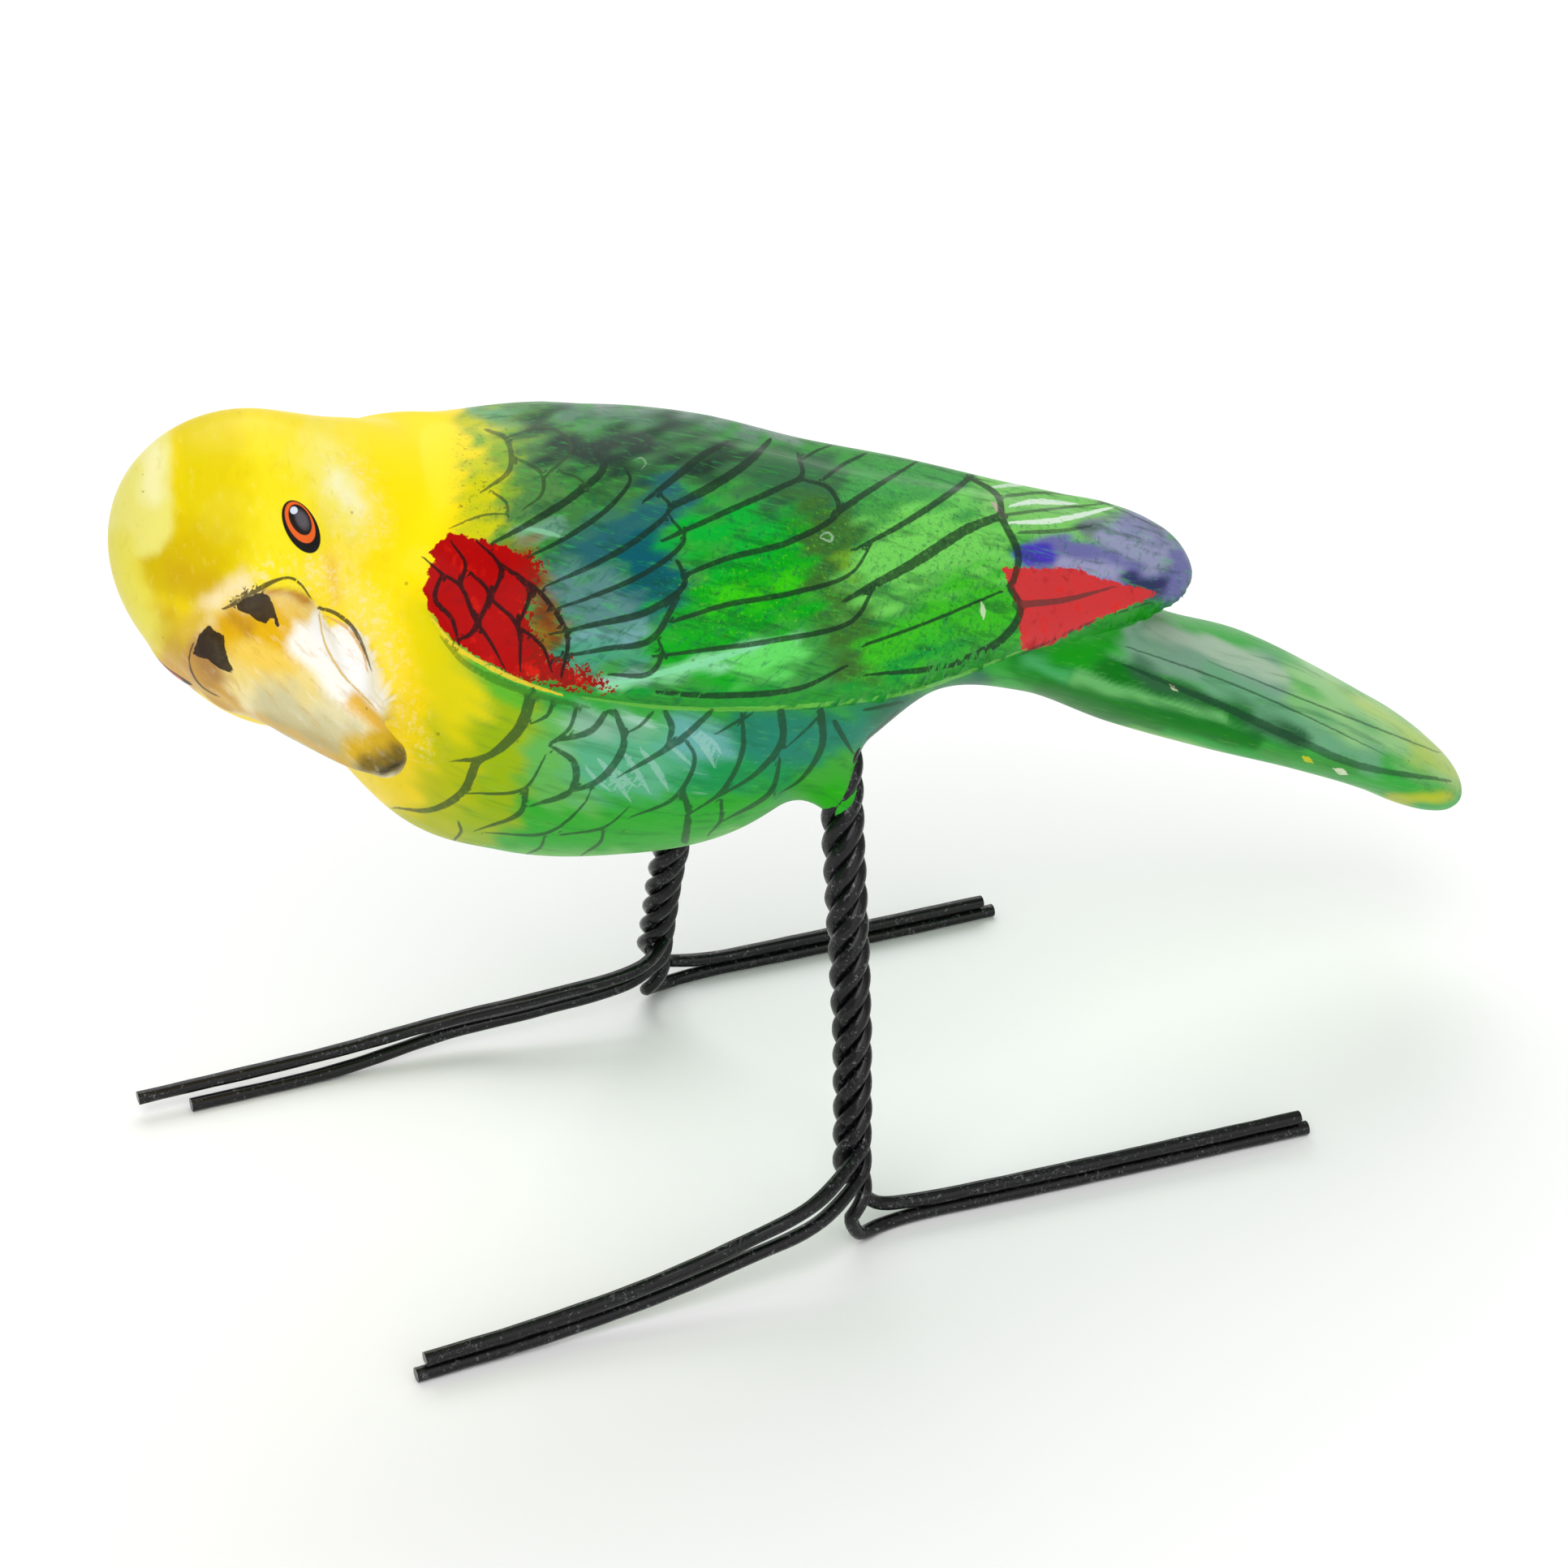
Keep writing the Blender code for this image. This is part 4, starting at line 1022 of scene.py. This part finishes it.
red = np.minimum(inside_outline(pixel, RED_SHOULDER), inside_outline(pixel, RED_TIP)) / PIXELS_PER_MM
on_wing = (is_wing[:, 0] > 0.2) | (from_front < 2)
red = np.where(on_wing & (pictured > PICTURED_FROM), red, np.maximum(red, 1.0))
store("red_edge", "FLOAT", np.clip(red, -EDGE_REACH, EDGE_REACH))
store("worn_red", "FLOAT", ramp(pixel[:, 0], 622, 664) * ramp(pixel[:, 0], 1000, 900))
soot = np.minimum(*(inside_outline(pixel, outline) for outline in NOSTRILS)) / PIXELS_PER_MM
soot_edge = np.where(pictured > PICTURED_FROM, soot, EDGE_REACH)
store("soot_edge", "FLOAT", np.clip(soot_edge, -EDGE_REACH, EDGE_REACH))
print("vertices in the red", int((red < 0).sum()), "and in the nostrils", int((soot < 0).sum()))

# %% [markdown]
# ## The eyes
# Each eye is a black oval with an orange ring and a dark pupil, painted on a small swelling. The far eye is
# the near one, mirrored in the head's own middle plane and moved a little, because the picture shows it at
# the very edge of the head. The vertices keep their place on the oval, from -1 to 1 along its long and its
# short way.

# %% The eyes
EYE_PIXEL = np.array((371.0, 649.0))
EYE_LONG_WAY = np.array((95.0, 180.0)) / math.hypot(95, 180)
EYE_HALF_LENGTH, EYE_HALF_WIDTH = 35.5, 19.5
EYE_REACH = (6.5, 5.2)       # mm from its middle where the eye's paint begins, and where it is full
across_head = (skin_points - HEAD_MIDDLE) @ left_axis
other_half = across_head < 0
eye_points = skin_points - np.where(other_half, 2 * across_head, 0)[:, None] * left_axis
to_near_eye = [EYE[way] - FAR_EYE[way] for way in ("forward", "side", "up")]
to_near_eye = np.array(to_near_eye) @ np.stack([forward_axis, left_axis, up_axis])
eye_points = eye_points + other_half[:, None] * to_near_eye
from_eye = pixels_of(eye_points) - EYE_PIXEL
along_eye = from_eye @ EYE_LONG_WAY / EYE_HALF_LENGTH
across_eye = from_eye @ (-EYE_LONG_WAY[::-1] * (1, -1)) / EYE_HALF_WIDTH
eye_middle = HEAD_MIDDLE + EYE["forward"] * forward_axis + EYE["side"] * left_axis + EYE["up"] * up_axis
near_eye = ramp(np.linalg.norm(eye_points - eye_middle, axis=1), *EYE_REACH)
store("eye_place", "FLOAT_VECTOR", np.stack([along_eye, across_eye, near_eye], 1))
print("near eye in the picture", pixels_of(eye_middle[None]).round(0))
far_eye = FAR_EYE["forward"] * forward_axis - FAR_EYE["side"] * left_axis + FAR_EYE["up"] * up_axis
print("far eye in the picture", pixels_of((HEAD_MIDDLE + far_eye)[None]).round(0))

# %% [markdown]
# ## How the brush was used
# More numbers on each vertex tell the material where the painter dabbed: yellow-green flecks on the wings,
# spiky pale touches on the belly, a mottle on the face and a pale blush round the beak. The same pale colour
# beside the eye is a painted highlight.
# Two vectors hold the picture's places pressed together along the brush, so that noise on them turns into
# strokes on the face and on the beak.

# %% How the brush was used
# Each row is the width of the brush, how soft its edge is and where it went.
FLECKED = [
    (150, 90, [(900, 740), (1010, 700), (1090, 640), (1200, 720), (1120, 800)]),
    (90, 60, [(560, 560), (600, 620)]),
]
SPIKED = [(110, 60, [(720, 930), (900, 920)])]
BLUSH_AND_HIGHLIGHT = [
    (50, 50, [(392, 704), (436, 742), (472, 800), (484, 860), (520, 920)]),
    (26, 26, [(262, 752), (300, 720), (340, 700)]),
    # Painted highlight: the pale patch beside the eye.
    (60, 60, [(424, 580), (444, 640)]),
]


def amount(patches):
    """How far each vertex is covered by any patch of a list."""
    cover = np.zeros(len(pixel))
    for width, softness, line in patches:
        cover = np.maximum(cover, ramp(width / 2 - from_line(pixel, line), -softness / 2, softness / 2))
    return cover * pictured


body_share = (1 - is_wing[:, 0]) * (1 - is_beak[:, 0])
flecks = amount(FLECKED) * is_wing[:, 0]
spikes = amount(SPIKED) * body_share
mottle = on_head * (1 - is_beak[:, 0])
store("brushwork", "FLOAT_COLOR", np.stack([flecks, spikes, mottle, is_beak[:, 0]], 1))
store("blush_and_highlight", "FLOAT", amount(BLUSH_AND_HIGHLIGHT) * mottle)


def brush_way(lean, stretch):
    """Places along and across the brush in metres, as the vectors that noise reads."""
    return np.column_stack([along_brush(lean, stretch), np.zeros(len(pixel))]) / PIXELS_PER_MM * MM


store("face_way", "FLOAT_VECTOR", brush_way(82, 2))
store("beak_way", "FLOAT_VECTOR", brush_way(46, 4))
store("paint", "FLOAT_COLOR", np.column_stack([paint, is_wing[:, 0]]))
print("flecked share", round(float(flecks.mean()), 3))

# %% [markdown]
# ## Setting the bird in the frame
# The carving was made in millimetres about its own origin. Its vertices now move to their place in the frame
# and shrink to metres, while the object stays at the origin. The fine bird stands for the CAD bird.

# %% Setting the bird in the frame
BIRD_BOX = [np.array(corner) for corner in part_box("ceramic_bird")]
placed = (skin_points + PLACE) * MM
outside = np.maximum(BIRD_BOX[0] - placed.min(0), 0) + np.maximum(placed.max(0) - BIRD_BOX[1], 0)
placed = np.clip(placed, BIRD_BOX[0], BIRD_BOX[1])
bird.data.vertices.foreach_set("co", placed.ravel())
bird.data.update()
bird.data.shade_smooth()
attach(bird, "root")
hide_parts("ceramic_bird")
print("carved outside the CAD box by at most", (outside / MM).round(3), "mm before it was trimmed")

# %% [markdown]
# ## Sums for materials
# A material is a net of nodes, and long sums of Math nodes are hard to read. This class wraps a socket, so
# that a sum in Python adds the nodes for it. Any other node comes from the method called node, with its
# settings first and then the values or links of its sockets.


# %% Sums for materials
class Tone:
    """A socket of the material that is being made, which can be used in sums."""

    net = None

    def __init__(self, socket):
        self.socket = socket

    @classmethod
    def node(cls, kind, settings=None, sockets=None, output=0):
        """Adds any node, with its settings first and then its sockets."""
        made = cls.net.nodes.new(kind)
        for name, value in (settings or {}).items():
            setattr(made, name, value)
        for name, value in (sockets or {}).items():
            if isinstance(value, Tone):
                cls.net.links.new(value.socket, made.inputs[name])
            else:
                made.inputs[name].default_value = value
        return cls(made.outputs[output])

    @classmethod
    def math(cls, operation, *values):
        """Adds a Math node."""
        return cls.node("ShaderNodeMath", {"operation": operation}, dict(enumerate(values)))

    def __add__(self, other):
        return self.math("ADD", self, other)

    def __sub__(self, other):
        return self.math("SUBTRACT", self, other)

    def __rsub__(self, other):
        return self.math("SUBTRACT", other, self)

    def __mul__(self, other):
        return self.math("MULTIPLY", self, other)

    def __truediv__(self, other):
        return self.math("DIVIDE", self, other)

    def __abs__(self):
        return self.math("ABSOLUTE", self)

    __radd__, __rmul__ = __add__, __mul__

    def ramp(self, low, high):
        """0 at low, 1 at high and smooth between, in either order."""
        return self.node("ShaderNodeMapRange", {"interpolation_type": "SMOOTHSTEP"}, {
            "Value": self, "From Min": low, "From Max": high})

    def turned(self, angle, scale):
        """Coordinates turned about Y and stretched."""
        return self.node("ShaderNodeMapping", {"vector_type": "TEXTURE"}, {
            "Vector": self, "Rotation": (0, math.radians(angle), 0), "Scale": scale})

    def noise(self, size, detail=2.0, roughness=0.5):
        """Soft noise with bumps of about that many millimetres, from 0 to 1."""
        return self.node("ShaderNodeTexNoise", None, {
            "Vector": self, "Scale": 1 / (size * MM), "Detail": detail, "Roughness": roughness})

    def over(self, colour, cover):
        """Lays a colour over this one, as thick as cover says."""
        return self.node(
            "ShaderNodeMix", {"data_type": "RGBA", "clamp_factor": True},
            {0: cover, 6: self, 7: colour}, output=2)

    def parts(self):
        """The three numbers of a vector or colour."""
        split = self.net.nodes.new("ShaderNodeSeparateXYZ")
        self.net.links.new(self.socket, split.inputs[0])
        return [Tone(out) for out in split.outputs]


def kept(name, output="Vector"):
    """What the vertices keep under a name."""
    return Tone.node("ShaderNodeAttribute", {"attribute_name": name}, output=output)


def tint(*colour):
    """A screen colour of 0 to 255 for a material's socket."""
    return (*linear(colour), 1.0)


def lay_over(colour, layers):
    """Lays screen colours over a colour one after the other, each as thick as its cover says."""
    for layer, cover in layers:
        colour = colour.over(tint(*layer), cover)
    return colour


def begin_material(name):
    """A new material, its shader, and the object coordinates as the start of its patterns."""
    finish = bpy.data.materials.new(name)
    finish.use_nodes = True
    Tone.net = finish.node_tree
    shader = finish.node_tree.nodes["Principled BSDF"]
    return finish, shader, Tone.node("ShaderNodeTexCoord", output="Object")


def plug(shader, **tones):
    """Links tones to the shader's sockets, and sets plain numbers on them."""
    for name, value in tones.items():
        socket = shader.inputs[name.replace("_", " ")]
        if isinstance(value, Tone):
            Tone.net.links.new(value.socket, socket)
        else:
            socket.default_value = value


print("the sums of a material are ready")

# %% [markdown]
# ## Painted and varnished ceramic
# The broad colours come from the vertices. On them lie fine streaks along the feathers, flecks, mottle and
# brush strokes, each a noise of its own size that is laid on only where its share on the vertices says.

# %% Painted and varnished ceramic
ceramic, shader, place = begin_material("painted_ceramic")
paint_colour = kept("paint", "Color")
wing_share = kept("paint", "Alpha")
fleck_share, spike_share, mottle_share = kept("brushwork", "Color").parts()
beak_share = kept("brushwork", "Alpha")

streaks = place.turned(24, (6, 1.6, 1)).noise(0.9, 3.0, 0.6)
fine_streaks = place.turned(24, (8, 2, 1)).noise(0.35, 2.0, 0.6)
dabs = place.turned(-28, (4, 2, 1)).noise(0.45, 3.0, 0.65)
tail_streaks = place.turned(27, (9, 1, 1)).noise(1.2, 3.0, 0.6)
face_strokes = kept("face_way").noise(0.8, 4.0, 0.65)
beak_strokes = kept("beak_way").noise(0.7, 4.0, 0.65)
speckle = place.noise(0.4, 4.0, 0.7)
grain = place.noise(0.5, 3.0, 0.6)
clouds = place.noise(5.0, 3.0, 0.55)
blush_and_highlight = kept("blush_and_highlight", "Fac") * place.noise(0.6, 5.0, 0.75).ramp(0.50, 0.62)
body_share = (1 - wing_share) * (1 - mottle_share) * (1 - beak_share)
greenish = paint_colour.parts()[0].ramp(0.60, 0.25)

colour = lay_over(paint_colour, [
    ((10, 70, 36), streaks.ramp(0.50, 0.30) * wing_share * greenish * 0.50),
    ((20, 96, 70), dabs.ramp(0.48, 0.30) * wing_share * greenish * 0.45),
    ((56, 204, 56), fine_streaks.ramp(0.54, 0.74) * wing_share * greenish * 0.26),
    ((24, 78, 30), speckle.ramp(0.46, 0.34) * fleck_share * 0.50),
    ((120, 210, 10), speckle.ramp(0.58, 0.68) * fleck_share * 0.45),
    ((14, 96, 44), tail_streaks.ramp(0.50, 0.30) * body_share * greenish * 0.36),
    ((120, 206, 96), fine_streaks.ramp(0.56, 0.76) * body_share * greenish * 0.18),
    ((176, 214, 200), tail_streaks.ramp(0.60, 0.74) * spike_share * 0.6),
    ((214, 186, 0), clouds.ramp(0.56, 0.76) * mottle_share * 0.24),
    ((216, 188, 0), face_strokes.ramp(0.46, 0.30) * mottle_share * 0.22),
    ((252, 242, 140), face_strokes.ramp(0.54, 0.74) * mottle_share * 0.16),
    # pale blush, and a painted highlight beside the eye
    ((248, 228, 182), blush_and_highlight * 0.55),
    ((204, 150, 44), beak_strokes.ramp(0.52, 0.70) * beak_share * 0.34),
    ((252, 250, 244), beak_strokes.ramp(0.46, 0.30) * beak_share * 0.16),
])
print("nodes under the red:", len(ceramic.node_tree.nodes))

# %% [markdown]
# ## Red and soot black
# The two red patches and the nostrils are cut out of their distances. Noise is added to a distance first, so
# that the edge is ragged, as a dry brush leaves it. The red on the wing tip is paler than the shoulder's.

# %% Red and soot black
worn_red = kept("worn_red", "Fac")
ragged = place.noise(0.8, 3.0, 0.7) - 0.5
red_tone = place.noise(1.6, 3.0, 0.6)
on_tip = place.parts()[0].ramp(0.0, 10 * MM)
red_cover = (kept("red_edge", "Fac") + ragged * 1.3 + (speckle - 0.5) * 5.0 * worn_red).ramp(0.08, -0.08)
soot_cover = (kept("soot_edge", "Fac") + ragged * 0.35).ramp(0.05, -0.05)
colour = lay_over(colour, [
    ((176, 0, 0), red_cover),
    ((112, 30, 10), red_cover * worn_red * (1 - on_tip) * speckle.ramp(0.60, 0.40) * 0.7),
    ((208, 58, 60), red_cover * on_tip * 0.85),
    ((226, 30, 6), red_cover * red_tone.ramp(0.54, 0.70) * 0.6),
    ((140, 4, 12), red_cover * red_tone.ramp(0.44, 0.26) * 0.5),
    ((34, 26, 24), soot_cover * (0.90 + 0.10 * grain)),
])
print("nodes under the lines:", len(ceramic.node_tree.nodes))

# %% [markdown]
# ## Brush lines and eyes on the glaze
# A line covers the skin where its distance is less than half its width. The signed distance gives the sharp
# edge, and the plain distance keeps the line from running on past its ends. The eye is a set of ovals, one
# over the other.


# %% Brush lines and eyes on the glaze
def line_cover(name, wobble, softness):
    """1 on the brush line that the vertices keep under a name, and 0 off it."""
    signed, distance, half_width = kept(name).parts()
    width = half_width * (1 + (place.noise(1.2, 2.0, 0.6) - 0.5) * wobble)
    sharp = (abs(signed) - width).ramp(softness, -softness)
    reach = 0.28 - 0.8 * half_width
    near = (distance - half_width - reach).ramp(0.05, -0.05)
    broad = (distance - width).ramp(softness, -softness)
    return Tone.math("MAXIMUM", sharp * near, broad) * half_width.ramp(0.01, 0.05)


pale_cover = line_cover("pale_line", 1.0, 0.06) * grain.ramp(0.25, 0.45)
colour = colour.over(kept("pale_colour", "Color"), pale_cover * kept("pale_colour", "Alpha"))
dark_cover = line_cover("dark_line", 0.45, 0.06) * (0.82 + 0.18 * grain.ramp(0.3, 0.5))
colour = colour.over(kept("dark_colour", "Color"), dark_cover * kept("dark_colour", "Alpha"))

along, across, near_eye = kept("eye_place").parts()


def oval(along_middle, across_middle, half_length, half_width, edge=0.05):
    """1 inside an oval of the eye, and 0 outside it."""
    u = (along - along_middle) / half_length
    v = (across - across_middle) / half_width
    return (u * u + v * v).ramp(1 + edge / half_length, 1 - edge / half_length) * near_eye


eye_cover = oval(0, 0, 1, 1)
specks = Tone.node("ShaderNodeTexVoronoi", {"feature": "F1"}, {"Vector": place, "Scale": 260.0})
colour = lay_over(colour, [
    ((26, 24, 22), eye_cover),
    ((232, 100, 36), oval(-0.15, -0.07, 0.78, 0.80)),
    ((34, 28, 26), oval(-0.23, -0.15, 0.58, 0.62)),
    ((104, 100, 106), oval(-0.20, -0.26, 0.36, 0.36, 0.3) * 0.7),
    # a painted highlight: a small bluish white glint at the top of the pupil
    ((214, 222, 240), oval(-0.62, -0.08, 0.13, 0.24, 0.04)),
    ((60, 44, 20), (specks + grain * 0.12).ramp(0.11, 0.085) * 0.4),
])
print("nodes of the colour:", len(ceramic.node_tree.nodes))

# %% [markdown]
# ## Relief and varnish
# Thick paint stands up a little and the clay under it is uneven, which a Bump node shows. The varnish is the
# shader's clear coat, thin and a little cloudy, because a stronger one would mirror the white studio and pale
# the colours.

# %% Relief and varnish
height = (place.noise(7.0, 2.0, 0.5) + streaks * 0.10 + tail_streaks * 0.08 + grain * 0.05
          + dark_cover * 0.05 + eye_cover * 0.10 + red_cover * 0.04)
bump = Tone.node("ShaderNodeBump", None, {"Strength": 0.55, "Distance": 0.35 * MM, "Height": height})
plug(shader, Base_Color=colour, Normal=bump, Roughness=0.36 + 0.12 * clouds.ramp(0.35, 0.7),
     Specular_IOR_Level=0.05, Coat_Weight=0.05 + 0.09 * clouds.ramp(0.3, 0.6), Coat_Roughness=0.14,
     Coat_IOR=1.45)
bird.data.materials.append(ceramic)
print("painted ceramic has", len(ceramic.node_tree.nodes), "nodes")

# %% [markdown]
# ## Twisted wire legs
# Each leg is four soft steel wires, twisted by hand and dipped in black paint. In the CAD model they are kept
# a little apart. Here they touch, as the real ones do. A curve with a round bevel follows each wire's way.
# The curve becomes a mesh, its doubles are merged and its ends are closed flat, as a cutter leaves them.

# %% Twisted wire legs
WIRE_SIDES = 16
THICKER_TOP = 0.20           # how much thicker the paint is on the upper legs
DOUBLES_WITHIN = 0.005       # mm
SHARP_FROM = math.radians(50)


def make_wire(leg, order, finish):
    """One smooth wire that stands for its CAD wire."""
    name = f"{leg}_{WIRES[leg][order][0]}_wire"
    path = wire_path(leg, order, 0.0, points_per_turn=30, toe_step=0.7)
    route = bpy.data.curves.new("route", "CURVE")
    route.dimensions = "3D"
    route.bevel_depth = WIRE / 2
    route.bevel_resolution = WIRE_SIDES // 4
    route.use_fill_caps = True
    spline = route.splines.new("POLY")
    spline.points.add(len(path) - 1)
    spline.points.foreach_set("co", np.column_stack([path, np.ones(len(path))]).ravel())
    run = np.arange(len(path)) * 0.33
    paint_lumps = 0.965 + 0.02 * np.sin(run + 2 * order) + 0.015 * np.sin(2.7 * run + order)
    paint_lumps = paint_lumps + THICKER_TOP * ramp(path[:, 2], 14, 38)
    spline.points.foreach_set("radius", paint_lumps)
    guide = add_object("route", route)
    bm = bmesh.new()
    bm.from_mesh(evaluated_mesh(guide))
    bpy.data.objects.remove(guide)
    bmesh.ops.remove_doubles(bm, verts=bm.verts, dist=DOUBLES_WITHIN)
    bmesh.ops.recalc_face_normals(bm, faces=bm.faces)
    bmesh.ops.translate(bm, verts=bm.verts, vec=PLACE)
    bmesh.ops.scale(bm, verts=bm.verts, vec=(MM, MM, MM))
    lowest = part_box(name)[0].z
    for vertex in bm.verts:
        vertex.co.z = max(vertex.co.z, lowest)
        vertex.co.y = min(max(vertex.co.y, CAD_BOX[0][1]), CAD_BOX[1][1])
    wire = object_from_bmesh("smooth_" + name, bm)
    wire.data.materials.append(finish)
    wire.data.shade_smooth()
    wire.data.set_sharp_from_angle(angle=SHARP_FROM)
    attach(wire, "root")
    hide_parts(name)
    return wire


# %% [markdown]
# ## Black paint on wire
# The paint is glossy, with small lumps. Noise of a few sizes gives it grey scuffs, a touch of brown, and
# small grey glints, a painted highlight in its colour, where the coat is thickest.

# %% Black paint on wire
black, shader, place = begin_material("black_wire_paint")
lumps = place.noise(1.1, 3.0, 0.6)
scuffs = place.noise(0.35, 4.0, 0.7)
wear = place.noise(4.0, 2.0, 0.5)
worn = scuffs.ramp(0.56, 0.66) * wear.ramp(0.45, 0.65)
glints = place.noise(0.5, 3.0, 0.7).ramp(0.60, 0.68)
colour = Tone.node("ShaderNodeMix", {"data_type": "RGBA"}, {
    0: lumps, 6: tint(3, 3, 4), 7: tint(16, 16, 18)}, output=2)
colour = lay_over(colour, [
    ((112, 112, 116), worn * 0.60),
    # painted highlight: grey glints in the colour, where the coat is also thickest
    ((120, 120, 128), glints * 0.35),
    ((92, 56, 34), scuffs.ramp(0.64, 0.74) * wear.ramp(0.42, 0.30) * 0.5),
])
bump = Tone.node("ShaderNodeBump", None, {
    "Strength": 0.6, "Distance": 0.12 * MM, "Height": lumps + 0.3 * scuffs})
plug(shader, Base_Color=colour, Normal=bump, Roughness=0.26 + 0.30 * worn + 0.14 * lumps,
     Specular_IOR_Level=0.10, Coat_Weight=0.42 + 0.55 * glints, Coat_Roughness=0.05)
wires = [make_wire(leg, order, black) for leg in LEGS for order in range(4)]
print("wires:", sum(len(wire.data.polygons) for wire in wires), "faces in all")

# %% [markdown]
# ## The studio
# The bird stands on a plain pale floor under large soft lamps: one high on the left, one broad and weak from
# the camera's side, and one from behind and above, which puts the gloss along the top of the wings. The
# camera is where the photographer's was.

# %% The studio
FLOOR_REACH = 3.0            # metres
SKY_STRENGTH = 0.54
SENSOR_WIDTH = 36.0          # mm


def in_frame(point):
    """A point of the carving in mm as a place in the frame in metres."""
    return Vector((np.asarray(point, float) + PLACE) * MM)


bm = bmesh.new()
bmesh.ops.create_grid(bm, x_segments=1, y_segments=1, size=FLOOR_REACH)
floor = object_from_bmesh("studio_floor", bm)
backdrop, shader, _ = begin_material("studio_floor")
plug(shader, Base_Color=tint(254, 254, 254), Roughness=0.9)
floor.data.materials.append(backdrop)

LAMPS = [
    # name, place in mm, aimed at in mm, size in mm, power in watts
    ("key", (-260, -330, 560), (0, 0, 50), 520, 1.6),
    ("fill", (60, -620, 260), (0, 0, 50), 700, 0.9),
    ("back", (120, 420, 520), (0, 0, 55), 620, 2.0),
]
for name, at, aimed_at, size, power in LAMPS:
    lamp = bpy.data.lights.new(name, "AREA")
    lamp.shape = "DISK"
    lamp.size = size * MM
    lamp.energy = power
    holder = add_object(name, lamp)
    holder.location = in_frame(at)
    holder.rotation_euler = (in_frame(aimed_at) - in_frame(at)).to_track_quat("-Z", "Y").to_euler()

sky = bpy.data.worlds.new("studio")
sky.use_nodes = True
sky.node_tree.nodes["Background"].inputs["Color"].default_value = (1, 1, 1, 1)
sky.node_tree.nodes["Background"].inputs["Strength"].default_value = SKY_STRENGTH
bpy.context.scene.world = sky
bpy.context.scene.view_settings.view_transform = "Standard"

camera = add_object("camera", bpy.data.cameras.new("camera"))
camera.data.sensor_width = SENSOR_WIDTH
camera.data.lens = PHOTO_FOCAL / PHOTO_SIZE * SENSOR_WIDTH
camera.data.clip_start = 0.01
camera.location = in_frame(PHOTO_PLACE)
camera.rotation_euler = (math.pi / 2 - LOOK_DOWN, 0, -LOOK_ROUND)
bpy.context.scene.camera = camera
print("lens", round(camera.data.lens, 2), "mm, camera at", [round(c, 4) for c in camera.location])
